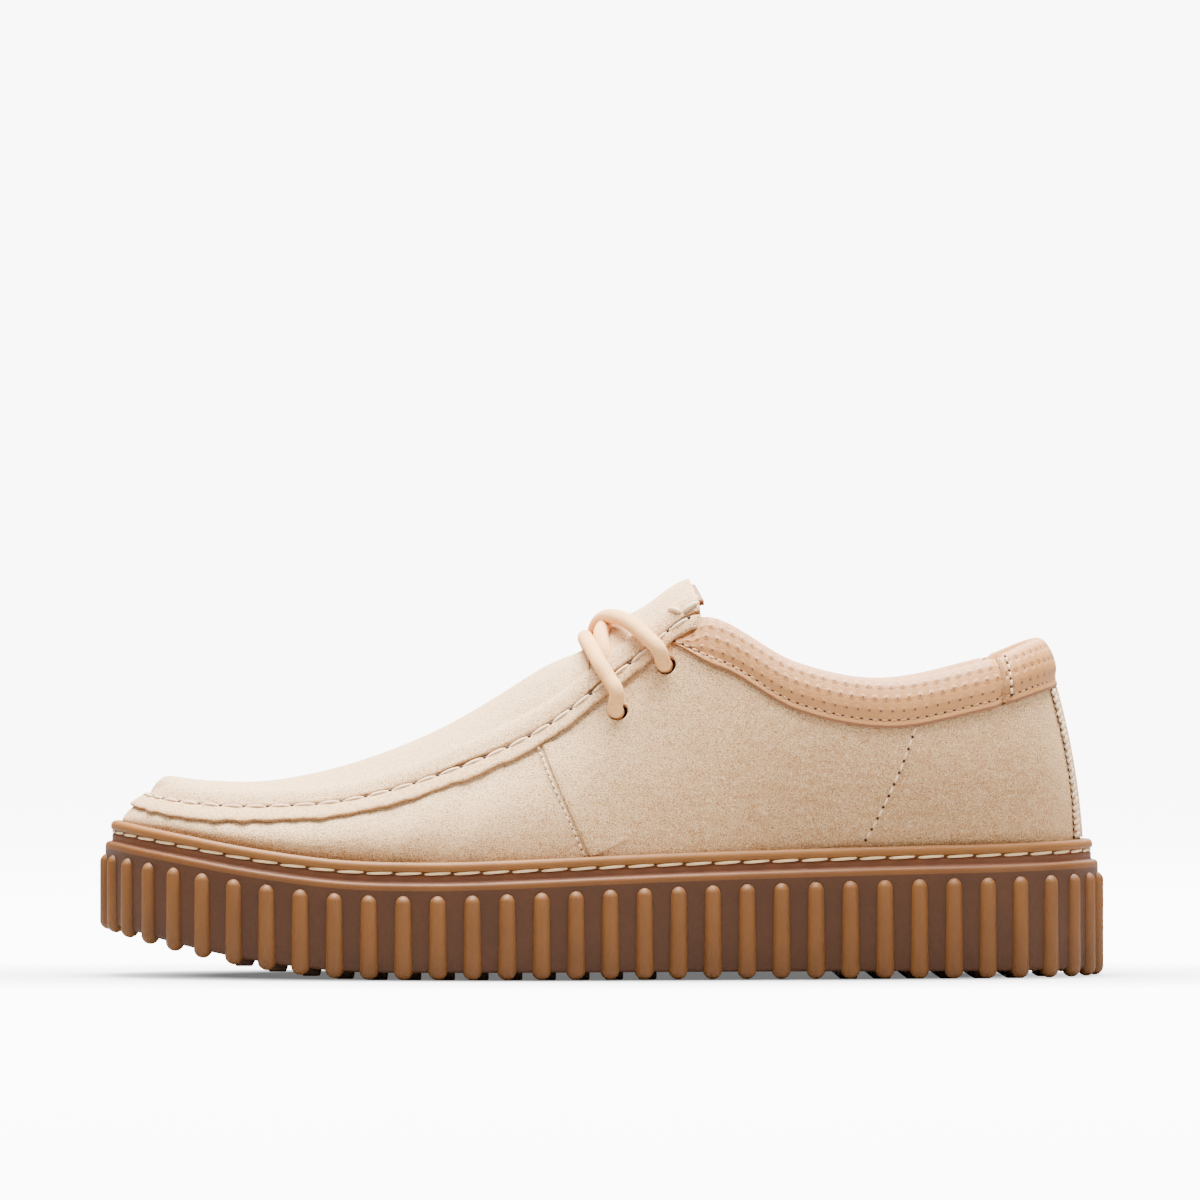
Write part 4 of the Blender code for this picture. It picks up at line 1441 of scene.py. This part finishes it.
@dataclass
class SuedeUpper:
    """Side walls, apron and legs, with lining inside and eyelet holes."""

    last: Last
    apron: Apron
    looks: Materials
    wall: float = 2.0 * MM
    throat: float = 6.5
    leg_end: float = 7.95
    eyelet_radius: float = 2.9 * MM
    eyelet_shift: tuple[float, float] = (0.7 * MM, -0.5 * MM)
    punch_depth: float = 12.0 * MM
    # Depth and thickness of the dark discs of painted shade under the holes.
    shade_disc_sink: float = 2.4 * MM
    shade_disc_depth: float = 0.6 * MM
    flare: float = 1.06
    unevenness: float = 0.35 * MM
    flex_station: float = 4.9
    fold_pitch: float = 21.0 * MM
    fold_depth: float = 0.32 * MM

    def build(self) -> None:
        """Model the walls, apron and legs."""
        last = self.last

        def wall(u: float, v: float) -> Vector:
            """Point of the side wall, with soft settling folds over the flex line.

            Args:
                u: Share of the way round.
                v: 0 in the sole to 1 at the suede's top.

            Returns:
                The point.
            """
            station = u * LAP
            low = 0.35 * last.rim_rise(station)
            high = last.band_foot(station)
            rise = low + (high - low) * v
            return last.wall_out(station, rise, self.settle(station, rise))

        sides = bent_grid(round(LAP) * 16, 36, wall)
        bmesh.ops.remove_doubles(sides, verts=sides.verts, dist=WELD)
        materials = [self.looks.suede, self.looks.lining, self.looks.raw_edge]
        self.cut_eyelets(lined_sheet(sides, "vamp_and_quarters", materials, self.wall, ["upper"]))

        def top(u: float, v: float) -> Vector:
            """Point of the apron, with its columns closer at the toe."""
            return self.apron.surface(self.throat * u ** 1.15, 2.0 * v - 1.0)

        crown = bent_grid(150, 72, top)
        bmesh.ops.remove_doubles(crown, verts=crown.verts, dist=WELD)
        lined_sheet(crown, "apron", materials, self.wall)
        for name, side in (("outer", 1.0), ("inner", -1.0)):
            leg = bent_grid(30, 10, lambda u, v: self.leg(u, v, side))
            lined_sheet(leg, f"apron_leg_{name}", materials, self.wall, flip=side < 0.0)

    def settle(self, station: float, rise: float) -> float:
        """Soft unevenness of the walls: slow waves, deeper over the flex line.

        Args:
            station: Place round the shoe.
            rise: Share of the wall's height.

        Returns:
            How far the wall stands out.
        """
        point = self.last.wall(station, rise)
        slow = noise.noise(point * 26.0) * self.unevenness
        flex = math.exp(-((self.last.side_station(station) - self.flex_station) / 0.8) ** 2)
        turns = (point.x - point.z * 0.55) / self.fold_pitch
        fold = math.sin(turns * 2.0 * math.pi) * self.fold_depth * flex
        edge = smooth_step(rise, 0.0, 0.45) * (1.0 - smooth_step(rise, 0.75, 1.0))
        return (slow + fold) * edge

    def cut_eyelets(self, walls: bpy.types.Object) -> None:
        """Punch the lace holes, with a dark disc of painted shade sunk under each.

        Args:
            walls: The side walls.
        """
        cutter, shade_discs = bmesh.new(), bmesh.new()
        radius, (back, down) = self.eyelet_radius, self.eyelet_shift
        for station, rise in EYELETS:
            for place in (station, LAP - station):
                normal = self.last.wall_normal(place, rise)
                centre = self.last.wall(place, rise) + Vector((back, 0.0, down))
                turn = Vector((0.0, 0.0, 1.0)).rotation_difference(normal).to_matrix().to_4x4()
                for shape, sink, depth in ((cutter, 0.0, self.punch_depth),
                                           (shade_discs, self.shade_disc_sink, self.shade_disc_depth)):
                    bmesh.ops.create_cone(shape, cap_ends=True, segments=28, radius1=radius * self.flare,
                                          radius2=radius, depth=depth,
                                          matrix=Matrix.Translation(centre - normal * sink) @ turn)
        # Dark discs of painted shade, one under each hole.
        finish_piece(shade_discs, "eyelet_shade_discs", [self.looks.shadow])
        punch = new_object("eyelet_punch", new_mesh(cutter, "eyelet_punch"))
        add_modifier(walls, "BOOLEAN", object=punch, operation="DIFFERENCE", solver="EXACT")
        bpy.context.view_layer.update()
        graph = bpy.context.evaluated_depsgraph_get()
        baked = bpy.data.meshes.new_from_object(walls.evaluated_get(graph))
        walls.modifiers.clear()
        walls.data = baked
        bpy.data.objects.remove(punch, do_unlink=True)

    def leg(self, u: float, v: float, side: float) -> Vector:
        """Point of the apron's strip beside the throat.

        Args:
            u: Share of the way from the throat to the collar.
            v: 0 at the seam to 1 at the free edge.
            side: 1 for the outer leg and -1 for the inner one.

        Returns:
            The point.
        """
        station = self.throat - 0.02 + (self.leg_end - self.throat) * u
        outer, inner = self.last.topline_pair(station)
        half = 0.5 * (inner - outer).length
        narrow = self.last.leg_width * (1.0 - 0.35 * smooth_step(station, 7.2, self.leg_end))
        return self.apron.surface(station, -side * (1.0 - v * narrow / half))


@dataclass
class MocSeam:
    """Raised, gathered lip of the side wall and the hand-sewn thread along it."""

    last: Last
    looks: Materials
    width: float = 4.0 * MM
    proud: float = 1.5 * MM
    stitches: Stitching = Stitching(7.4 * MM, 0.50 * MM, fill=0.88, slant=0.12 * MM, bow=0.9, prick=1.30)
    stitch_drop: float = 0.30 * MM
    stitch_proud: float = 1.62 * MM
    # Size and place of the thin dark tube of painted shade along the seam.
    shade_line_radius: float = 0.36 * MM
    shade_line_drop: float = -0.25 * MM
    shade_line_proud: float = 0.75 * MM
    end: float = 7.96
    columns: int = 620
    raw_rows: int = 7
    toe_width: float = 0.74
    toe_gather: float = 0.09
    toe_pinch: float = 0.24

    def route(self, drop: float, proud: float, stations: Iterable[float]) -> list[Spot]:
        """Route along the seam.

        Args:
            drop: Distance below it.
            proud: Height over the wall.
            stations: Places along it.

        Returns:
            Points and normals.
        """
        return [self.last.wall_spot(station, 1.0 - drop / self.last.wall_height(station), proud)
                for station in stations]

    def build(self) -> None:
        """Model the lip and its stitches."""
        stations = [-self.end + 2.0 * self.end * k / self.columns for k in range(self.columns + 1)]
        base = [point for point, _ in self.route(0.0, 0.0, stations)]
        along = run_lengths(base)
        count = round(along[-1] / self.stitches.pitch)
        section = (
            # drop and proud, as shares of the lip's width and thickness
            (-0.02, 0.10), (-0.05, 0.55), (0.04, 0.84), (0.22, 0.97), (0.50, 1.0), (0.80, 1.0),
            (0.97, 0.92), (1.02, 0.72), (0.99, 0.30), (0.96, 0.06), (0.5, 0.02), (-0.02, 0.10),
        )

        def place(u: float, v: float) -> Vector:
            """Point of the lip.

            Args:
                u: Share of the seam.
                v: Share of the section.

            Returns:
                The point.
            """
            k = round(u * self.columns)
            station = stations[k]
            phase = along[k] / along[-1] * count
            gather = 1.0 - 0.75 * smooth_step(self.last.side_station(station), 2.5, 4.5)
            pinch = 0.5 + 0.5 * math.cos(2.0 * math.pi * phase)
            ragged = noise.noise(base[k] * 260.0) * 0.45 * MM + noise.noise(base[k] * 900.0) * 0.12 * MM
            drop, out = section[round(v * (len(section) - 1))]
            full = smooth_step(self.last.side_station(station), 0.4, 2.2)
            width = self.width * (self.toe_width + (1.0 - self.toe_width) * full)
            low = drop * (width * (1.0 - self.toe_gather * gather * pinch) + (ragged if drop > 0.6 else 0.0))
            thick = self.proud * (1.0 - self.toe_pinch * gather * pinch * (1.0 - max(drop, 0.0) * 0.4))
            tip = min(1.0, (1.0 - abs(2.0 * u - 1.0)) * 60.0 + 0.15)
            rise = 1.0 - low / self.last.wall_height(station)
            return self.last.wall_out(station, rise, 0.1 * MM + out * thick * tip)

        shape = bent_grid(self.columns, len(section) - 1, place)
        paint_rows(shape, len(section), lambda lowest, highest: int(lowest >= self.raw_rows))
        bmesh.ops.remove_doubles(shape, verts=shape.verts, dist=FINE_WELD)
        bmesh.ops.recalc_face_normals(shape, faces=shape.faces)
        finish_piece(shape, "moc_lip", [self.looks.lip, self.looks.raw_edge], ["moc_seam_lip"])
        within = stations[6:-6]
        # A thin dark tube along the seam, just above the thread: painted shade in the seam's groove.
        shade_line = [point for point, _ in self.route(self.shade_line_drop, self.shade_line_proud, within)]
        finish_piece(tube(shade_line, self.shade_line_radius, 6), "moc_shade_line", [self.looks.hole])
        groove = self.route(self.stitch_drop, self.stitch_proud, within)
        sew("moc_stitch", groove, self.stitches, self.looks.thread, self.looks.hole)


@dataclass
class PanelSeams:
    """Seams of the side panels and the sewn strap down the heel."""

    last: Last
    looks: Materials
    front: tuple[tuple[float, float], ...] = ((-107.2 * MM, 0.09), (-121.0 * MM, 0.90))
    rear: tuple[tuple[float, float], ...] = ((-25.0 * MM, 0.12), (-10.0 * MM, 0.73))
    bend: float = 1.0 * MM
    slope: float = 15.0 * MM
    step: float = 0.62 * MM
    stitch_shift: float = 1.6 * MM
    front_proud: float = 0.35 * MM
    rear_proud: float = 0.18 * MM
    front_stitches: Stitching = Stitching(2.3 * MM, 0.28 * MM, fill=0.62, bow=0.6)
    rear_stitches: Stitching = Stitching(3.8 * MM, 0.34 * MM, fill=0.60, bow=0.5, prick=1.5)
    strap: float = 0.40
    strap_flare: float = 0.95
    strap_lift: float = 0.75 * MM
    whips: int = 22
    whip_radius: float = 0.80 * MM
    whip_bow: float = 0.25 * MM
    whip_prick: float = 0.70 * MM

    def line(self, low: tuple[float, float], high: tuple[float, float], inner: bool,
             proud: float, bend: float = 0.0, steps: int = 40) -> list[Spot]:
        """Points and normals along a seam on the wall.

        Args:
            low: Foot of the seam: X and rise.
            high: Top of the seam: X and rise.
            inner: True on the inner side.
            proud: Height over the wall.
            bend: How far the middle bows along X.
            steps: Number of steps.

        Returns:
            The points and their normals.
        """
        found = []
        for k in range(steps + 1):
            t = k / steps
            rise = low[1] + (high[1] - low[1]) * t
            x = low[0] + (high[0] - low[0]) * t + bend * 4.0 * t * (1.0 - t)
            found.append(self.last.wall_spot(self.last.station_at(x, rise, inner), rise, proud))
        return found

    def ridge(self, name: str, route: Sequence[Spot], width: float, height: float,
              side: float) -> None:
        """A raised cut edge along a seam: steep on one side and sloping on the other.

        Args:
            name: The piece's name.
            route: Points and normals along the seam.
            width: Width of the edge with its slope.
            height: How far it stands out.
            side: 1 or -1, for the way the slope faces.
        """
        section = (
            # shares of the width and of the height
            (0.0, -0.5), (-0.02, 0.6), (0.02, 0.95), (0.10, 1.0), (0.32, 0.62), (0.58, 0.25),
            (0.8, 0.02), (1.0, -0.5),
        )

        def place(u: float, v: float) -> Vector:
            """Point of the edge.

            Args:
                u: Share of the seam.
                v: Share of the section.

            Returns:
                The point.
            """
            k = round(u * (len(route) - 1))
            point, normal = route[k]
            run = (route[min(k + 1, len(route) - 1)][0] - route[max(k - 1, 0)][0]).normalized()
            across = run.cross(normal) * side
            offset, lift = section[round(v * (len(section) - 1))]
            return point + across * (offset * width) + normal * (lift * height)

        shape = bent_grid(len(route) - 1, len(section) - 1, place)
        finish_piece(shape, name, [self.looks.suede], flip=side > 0.0)

    def build(self) -> None:
        """Model both panel seams on both sides, and the heel strip."""
        for side, inner in (("outer", False), ("inner", True)):
            edge = self.line(*self.front, inner, 0.0, -self.bend)
            self.ridge(f"quarter_edge_{side}", edge, self.slope, self.step, -1.0 if inner else 1.0)
            moved = [(point + Vector((-self.stitch_shift, 0.0, 0.0)), normal)
                     for point, normal in self.line(*self.front, inner, self.front_proud, -self.bend)]
            rear = self.line(*self.rear, inner, self.rear_proud, self.bend)
            for name, route, sizes in (("quarter", moved, self.front_stitches),
                                       ("counter", rear, self.rear_stitches)):
                sew(f"{name}_stitch_{side}", route, sizes, self.looks.thread, self.looks.hole)
        self.heel_strip()

    def heel_strip(self) -> None:
        """Strap over the back seam, whip-stitched down both its edges."""
        low, high = self.last.rim_rise(HEEL) * 1.04, self.last.band_foot(HEEL) - 0.01

        def edge_at(rise: float, side: float) -> float:
            """Stations from the heel to the strap's uneven edge."""
            ragged = 0.05 * noise.noise(Vector((rise * 30.0, side * 5.0, 3.0)))
            return self.strap * (1.0 + self.strap_flare * rise * rise + ragged)

        def place(u: float, v: float) -> Vector:
            """Point of the strap.

            Args:
                u: 0 at its foot to 1 at its top.
                v: Share of its width.

            Returns:
                The point.
            """
            rise, across = low + (high - low) * u, 2.0 * v - 1.0
            station = HEEL + across * edge_at(rise, math.copysign(1.0, across))
            lift = self.strap_lift * (1.0 - abs(across) ** 14) ** 0.5
            return self.last.wall_out(station, rise, lift if 0.0 < v < 1.0 else -0.3 * MM)

        shape = bent_grid(90, 40, place)
        finish_piece(shape, "heel_strip", [self.looks.suede], ["heel_seam_strip"], flip=True)
        stitches, pricks = bmesh.new(), bmesh.new()
        for side in (-1.0, 1.0):
            for k in range(self.whips):
                rise = low + (high - low) * (k + 0.5) / self.whips
                stray = 0.02 * noise.noise(Vector((k * 5.3, side, 7.0)))
                station = HEEL + side * (edge_at(rise, side) + stray)
                lean = 0.012 + 0.010 * noise.noise(Vector((k * 3.7, side, 1.0)))
                inside = self.last.wall_out(station - side * 0.030, rise + lean, 0.95 * MM)
                outside = self.last.wall_out(station + side * 0.075, rise - lean, 0.25 * MM)
                up = self.last.wall_normal(station, rise)
                add_stitch(stitches, inside, outside, up, self.whip_radius, self.whip_bow)
                add_hole(pricks, outside, up, self.whip_prick)
        finish_piece(stitches, "heel_whip_thread", [self.looks.thread])
        finish_piece(pricks, "heel_whip_holes", [self.looks.hole])


@dataclass
class PaddedCollar:
    """Padded leather collar in three pieces, with pinholes and edge stitches."""

    last: Last
    looks: Materials
    start: float = 7.40
    seam: float = 11.27
    puff: float = 2.3 * MM
    inner: float = 5.6 * MM
    thin: float = 2.0 * MM
    tuck_length: float = 0.12
    fold_rows: int = 6
    steps: int = 56
    route_steps: int = 399
    end_gap: float = 0.05
    edge_share: float = 0.13
    edge_proud: float = 0.95 * MM
    beside: float = 0.10
    gap_radius: float = 0.85 * MM
    edge_stitches: Stitching = Stitching(2.8 * MM, 0.33 * MM, fill=0.58, bow=0.5, prick=1.45)
    seam_stitches: Stitching = Stitching(2.4 * MM, 0.40 * MM, fill=0.7, bow=0.2, prick=1.3)

    def section(self, station: float, full: float) -> list[Vector]:
        """Loop round the collar.

        Args:
            station: Place round the shoe.
            full: 0 where the padding is thinnest to 1 where it is full.

        Returns:
            The loop's points.
        """
        foot = self.last.band_foot(station)
        tall = self.last.band_roof(station) - foot
        puff = self.puff * (0.35 + 0.65 * full)
        inner = self.thin + (self.inner - self.thin) * full
        table = (
            # share of the band's height, proud, in shares of the puff or the inner depth
            (-0.02, 0.10 * MM), (-0.025, 0.75 * MM), (0.03, 1.10 * MM), (0.09, 1.00 * MM), (0.13, 0.85 * MM),
            (0.18, 0.55 * puff), (0.32, 0.95 * puff), (0.52, 1.05 * puff), (0.72, 0.88 * puff),
            (0.88, 0.50 * puff), (0.955, -0.02 * puff),
            (0.985, -0.30 * inner), (0.96, -0.65 * inner), (0.82, -0.97 * inner),
            (0.5, -1.0 * inner), (0.1, -1.0 * inner), (-0.05, -0.5 * inner),
        )
        return [self.last.wall_out(station, foot + share * tall, proud) for share, proud in table]

    def build(self) -> None:
        """Model the three pieces, their stitches and seams."""
        spans = (("outer", self.start, self.seam), ("back", self.seam, LAP - self.seam),
                 ("inner", LAP - self.seam, LAP - self.start))
        for name, start, end in spans:
            def place(u: float, v: float) -> Vector:
                """Point of the padded skin, drawn in at its ends.

                Args:
                    u: Share of the piece's length.
                    v: Share of the way round the loop.

                Returns:
                    The point.
                """
                station = start + (end - start) * u
                side = self.last.side_station(station)
                full = smooth_step(side, self.start + 0.2, self.last.band_full + 0.7)
                loop = self.section(station, full)
                point = ring_value(loop, v * len(loop))
                centre = sum(loop, Vector()) / len(loop)
                tuck = min(u, 1.0 - u) * (end - start)
                close = 0.80 + 0.20 * math.sqrt(min(1.0, tuck / self.tuck_length))
                return centre.lerp(point, close)

            shape = bent_grid(max(24, round((end - start) * 34)), self.steps, place)
            paint_rows(shape, self.steps + 1, lambda lowest, highest: int(highest <= self.fold_rows))
            close_shape(shape, FINE_WELD)
            pad = finish_piece(shape, f"collar_{name}", [self.looks.collar, self.looks.collar_edge],
                               [f"collar_band_{name}"])
        self.build_stitches()

    def spot(self, station: float, share: float, proud: float) -> Spot:
        """Point on the band at a share of its height, and its normal."""
        foot = self.last.band_foot(station)
        return self.last.wall_spot(station, foot + share * (1.0 - foot), proud)

    def build_stitches(self) -> None:
        """Edge stitches along the foot, and upright ones beside the two seams."""
        length, steps = LAP - 2.0 * (self.start + self.end_gap), self.route_steps
        route = [self.spot(self.start + self.end_gap + length * k / steps, self.edge_share, self.edge_proud)
                 for k in range(steps + 1)]
        sew("collar_edge", route, self.edge_stitches, self.looks.tan_thread, self.looks.hole)
        for name, seam, beside in (("outer", self.seam, self.beside),
                                   ("inner", LAP - self.seam, -self.beside)):
            base = seam + beside
            upright = []
            for k in range(30):
                share = 0.12 + 0.76 * k / 29.0
                lift = 1.06 * self.puff * max(0.0, math.sin(math.pi * share)) ** 0.45
                upright.append(self.spot(base, share, lift))
            sew(f"collar_seam_{name}", upright, self.seam_stitches, self.looks.thread, self.looks.hole)
            foot = self.last.band_foot(base)
            gap = [self.last.wall_out(seam, foot + share * (1.0 - foot), lift * MM) for share, lift in (
                (0.02, 0.5), (0.15, 0.7), (0.32, 1.5), (0.55, 1.7), (0.74, 1.2), (0.86, 0.1), (0.90, -1.6))]
            finish_piece(tube(open_curve(gap, 6), self.gap_radius, 12), f"collar_gap_{name}",
                         [self.looks.raw_edge])


@dataclass
class Tongue:
    """Suede tongue under the apron and lace, with its tacks at the top corners."""

    last: Last
    apron: Apron
    looks: Materials
    root: float = 5.75
    top: float = 7.80
    thickness: float = 3.0 * MM
    drop: float = 2.3 * MM
    lift: float = 3.0 * MM
    lift_station: float = 6.62
    lift_reach: float = 0.32
    leg_gap: float = 4.6 * MM
    corner_rise: float = 0.16
    corner_round: float = 0.10
    # Sizes of the dark strip of painted shade that shows past the tongue's top.
    shade_strip_start: float = 7.3
    shade_strip_past: float = 0.085
    shade_strip_width: float = 1.7
    shade_strip_thickness: float = 1.6 * MM
    tack_radius: float = 0.8 * MM

    def surface(self, station: float, across: float, drop: float) -> Vector:
        """Point under the apron's surface, between the legs' free edges.

        Args:
            station: Stations from the toe.
            across: -1 at the outer leg to 1 at the inner leg.
            drop: Distance under the surface.

        Returns:
            The point.
        """
        outer, inner = self.last.topline_pair(station)
        half = 0.5 * (inner - outer).length
        across *= (half - self.leg_gap) / half
        point = self.apron.surface(station, across)
        point.z += self.lift * math.exp(-((station - self.lift_station) / self.lift_reach) ** 2)
        return point - self.apron.normal(station, across) * drop

    def build(self) -> None:
        """Model the tongue and its top tacks."""
        def place(u: float, v: float) -> Vector:
            """Point of the tongue, its top corners rounded.

            Args:
                u: 0 at its root to 1 at its top.
                v: Share of its width.

            Returns:
                The point.
            """
            across = 2.0 * v - 1.0
            top = self.top + self.corner_rise * across * across - self.corner_round * abs(across) ** 8
            station = self.root + (top - self.root) * u
            swell = 0.5 * MM * smooth_step(u, 0.5, 0.9) * (1.0 - across * across)
            return self.surface(station, across, self.drop - swell)

        shape = bent_grid(60, 36, place)
        materials = [self.looks.tongue, self.looks.lining, self.looks.raw_edge]
        tongue = lined_sheet(shape, "tongue_suede", materials, self.thickness, ["tongue"])
        add_modifier(tongue, "BEVEL", width=0.9 * MM, segments=3, limit_method="ANGLE",
                     angle_limit=math.radians(50.0))

        def under(u: float, v: float) -> Vector:
            """Point of a dark strip past the suede's top edge: painted shade of the tongue's inside."""
            across = self.shade_strip_width * (v - 0.5)
            end = self.top + self.shade_strip_past + self.corner_rise * across * across
            station = self.shade_strip_start + (end - self.shade_strip_start) * u
            return self.surface(station, across, self.drop + self.shade_strip_thickness)

        # The dark strip stands for the shaded inside of the tongue: painted shade, not a lining.
        fold = finish_piece(bent_grid(24, 30, under), "tongue_shade_strip", [self.looks.collar_edge])
        add_modifier(fold, "SOLIDIFY", thickness=self.shade_strip_thickness, offset=-1.0)
        self.build_tacks()

    def build_tacks(self) -> None:
        """Two thick slanted stitches at each top corner of the legs."""
        shape = bmesh.new()
        for side in (1.0, -1.0):
            for start, end in (((7.50, 0.84), (7.70, 0.965)), ((7.71, 0.965), (7.92, 0.93))):
                first, second = (self.apron.surface(station, -side * across)
                                 for station, across in (start, end))
                up = self.apron.normal(start[0], -side * start[1])
                lift = up * self.tack_radius
                add_stitch(shape, first + lift, second + lift, up, self.tack_radius, 0.7 * MM)
        finish_piece(shape, "tongue_tacks", [self.looks.thread])


@dataclass
class Lace:
    """Round suede lace: the front bar and the two strands that cross behind it."""

    last: Last
    looks: Materials
    radius: float = 2.3 * MM

    def eyelet_dive(self, index: int, inner: bool) -> list[Vector]:
        """Points that come up through an eyelet.

        Args:
            index: Which pair of eyelets.
            inner: True for the inner one.

        Returns:
            The points, from the inside out.
        """
        station, rise = EYELETS[index]
        place = LAP - station if inner else station
        return [self.last.wall_out(place, rise, depth * MM) for depth in (-4.5, -1.5, 1.2)]

    def build(self) -> None:
        """Model the bar and the strands."""
        half, over, under = ([Vector(row) * MM for row in rows] for rows in (
            # millimetres: the front bar to its middle, the upper strand and the lower one
            ((-99.2, -33.8, 85.4), (-101.2, -31.4, 89.2), (-104.2, -26.8, 94.2), (-106.8, -16.2, 99.4),
             (-108.0, 0.0, 101.7)),
            ((-86.6, -31.6, 98.2), (-90.6, -27.6, 102.4), (-95.4, -19.8, 106.4), (-99.8, -9.0, 108.0),
             (-103.0, 2.5, 107.2), (-104.8, 11.5, 103.8), (-104.6, 18.5, 98.4), (-102.8, 20.5, 92.6)),
            ((-86.6, 31.6, 98.2), (-90.6, 27.4, 102.0), (-95.0, 19.6, 105.0), (-99.0, 8.5, 105.6),
             (-101.8, -1.5, 105.2), (-103.4, -10.5, 103.0), (-102.8, -17.4, 99.0), (-101.6, -20.6, 94.8),
             (-100.8, -20.2, 91.0))))
        across = [Vector((p.x, -p.y, p.z)) for p in reversed(half[:-1])]
        bar = self.eyelet_dive(0, False) + half + across + self.eyelet_dive(0, True)[::-1]
        self.strand("lace_bar", bar, ["lace_front_bar"])
        self.strand("lace_strand_over", self.eyelet_dive(1, False) + over, ["lace_cross"])
        self.strand("lace_strand_under", self.eyelet_dive(1, True) + under, [])

    def strand(self, name: str, points: Sequence[Vector], nodes: Sequence[str]) -> None:
        """One length of lace along its points."""
        cord = tube(open_curve(points, 10), self.radius, 28)
        finish_piece(cord, name, [self.looks.lace], nodes)


@dataclass
class Studio:
    """Pale level floor, soft lights and the photo's camera."""

    distance: float = 3.0
    height: float = 0.105
    aim_x: float = -0.1035
    aim_z: float = 0.1130
    yaw: float = -1.0
    lens: float = 298.8
    sensor: float = 36.0
    floor_glow: float = 9.0
    floor_size: float = 60.0
    air: float = 0.17
    shade_length: float = 0.155
    shade_width: float = 0.060
    outer_shade: float = 0.40
    inner_shade: float = 0.02
    floor_grey: float = 0.30
    lamp_aim: float = 0.06
    lamps: tuple[tuple[str, tuple[float, float, float], float, float], ...] = (
        # name, place, size, watts
        ("key", (-0.9, -0.5, 1.5), 0.8, 19.0),
        ("top", (-0.1, 0.15, 1.5), 1.1, 245.0),
        ("heel", (0.9, -0.7, 0.7), 0.7, 9.5),
        ("back", (0.5, 1.2, 1.0), 1.0, 20.0),
    )

    def build(self) -> None:
        """Set up the floor, light and camera."""
        self.floor()
        self.light()
        self.camera()

    def floor(self) -> None:
        """Wide level floor, as bright to the camera as the air behind it, with a soft painted shade."""
        shape = bmesh.new()
        bmesh.ops.create_grid(shape, x_segments=8, y_segments=8, size=self.floor_size)
        mesh = new_mesh(shape, "studio_floor")
        material, sketch, shader = Finish("studio_white", (self.floor_grey,) * 3, 0.9).start()
        seen = sketch.add("LightPath").outputs["Is Camera Ray"]
        where = sketch.add("Mapping", Vector=sketch.place(),
                           Location=(-self.aim_x / self.shade_length, 0.0, 0.0),
                           Scale=(1.0 / self.shade_length, 1.0 / self.shade_width, 0.0))
        away = sketch.add("VectorMath", {"operation": "LENGTH"}, Vector=where.outputs[0]).outputs["Value"]
        near = sketch.mix(sketch.ramp(away, 1.0, 2.4), (self.outer_shade,) * 3, WHITE)
        shade = sketch.mix(sketch.ramp(away, 0.72, 1.20), (self.inner_shade,) * 3, near)
        sketch.fill(shader, Emission_Color=sketch.mix(seen, (0.0, 0.0, 0.0), shade),
                    Emission_Strength=self.floor_glow)
        mesh.materials.append(material)
        new_object("studio_floor", mesh)

    def face(self, item: bpy.types.Object, place: Vector, aim: Vector) -> None:
        """Put a lamp or camera at a place, looking at an aim."""
        item.location = place
        item.rotation_euler = (aim - place).to_track_quat("-Z", "Y").to_euler()

    def lamp(self, name: str, place: Vector, size: float, power: float) -> None:
        """Square soft light that looks at the shoe.

        Args:
            name: Its name.
            place: Where it stands.
            size: Length of its side.
            power: Its power in watts.
        """
        data = bpy.data.lights.new(name, "AREA")
        data.shape = "SQUARE"
        data.size = size
        data.energy = power
        self.face(new_object(name, data), place, Vector((self.aim_x, 0.0, self.lamp_aim)))

    def light(self) -> None:
        """Even white surroundings, brighter to the camera, and the soft lamps."""
        world = bpy.data.worlds.new("studio_air")
        world.use_nodes = True
        sketch = Sketch(world.node_tree)
        air = world.node_tree.nodes["Background"]
        seen = sketch.add("LightPath").outputs["Is Camera Ray"]
        glow = sketch.math("MULTIPLY_ADD", seen, self.floor_glow - self.air, self.air)
        sketch.fill(air, Color=(*WHITE, 1.0), Strength=glow)
        bpy.context.scene.world = world
        for name, place, size, power in self.lamps:
            self.lamp(name, Vector(place), size, power)

    def camera(self) -> None:
        """Camera at the photo's place."""
        data = bpy.data.cameras.new("photo_camera")
        data.lens = self.lens
        data.sensor_width = self.sensor
        camera = new_object("photo_camera", data)
        turn = math.radians(self.yaw)
        aim = Vector((self.aim_x, 0.0, self.aim_z))
        place = aim + Vector((math.sin(turn), -math.cos(turn), 0.0)) * self.distance
        place.z = self.height
        self.face(camera, place, aim)
        bpy.context.scene.camera = camera


class Part(Enum):
    """The shoe's sub-assemblies, in the order they are built."""

    SOLE = "sole"
    FOOTBED = "footbed"
    UPPER = "upper"
    SEAM = "moc seam"
    PANELS = "panel seams"
    COLLAR = "collar"
    TONGUE = "tongue"
    LACE = "lace"


def main() -> None:
    """Build the shoe and its studio."""
    logging.basicConfig(level=logging.INFO, format="%(message)s")
    last = Last()
    apron = Apron(last)
    looks = Materials()
    Studio().build()
    builders = {
        Part.SOLE: RibbedSole(last, looks),
        Part.FOOTBED: Footbed(last, looks),
        Part.UPPER: SuedeUpper(last, apron, looks),
        Part.SEAM: MocSeam(last, looks),
        Part.PANELS: PanelSeams(last, looks),
        Part.COLLAR: PaddedCollar(last, looks),
        Part.TONGUE: Tongue(last, apron, looks),
        Part.LACE: Lace(last, looks),
    }
    for part, builder in builders.items():
        log.info("building the %s", part.value)
        builder.build()


if __name__ == "__main__":
    main()
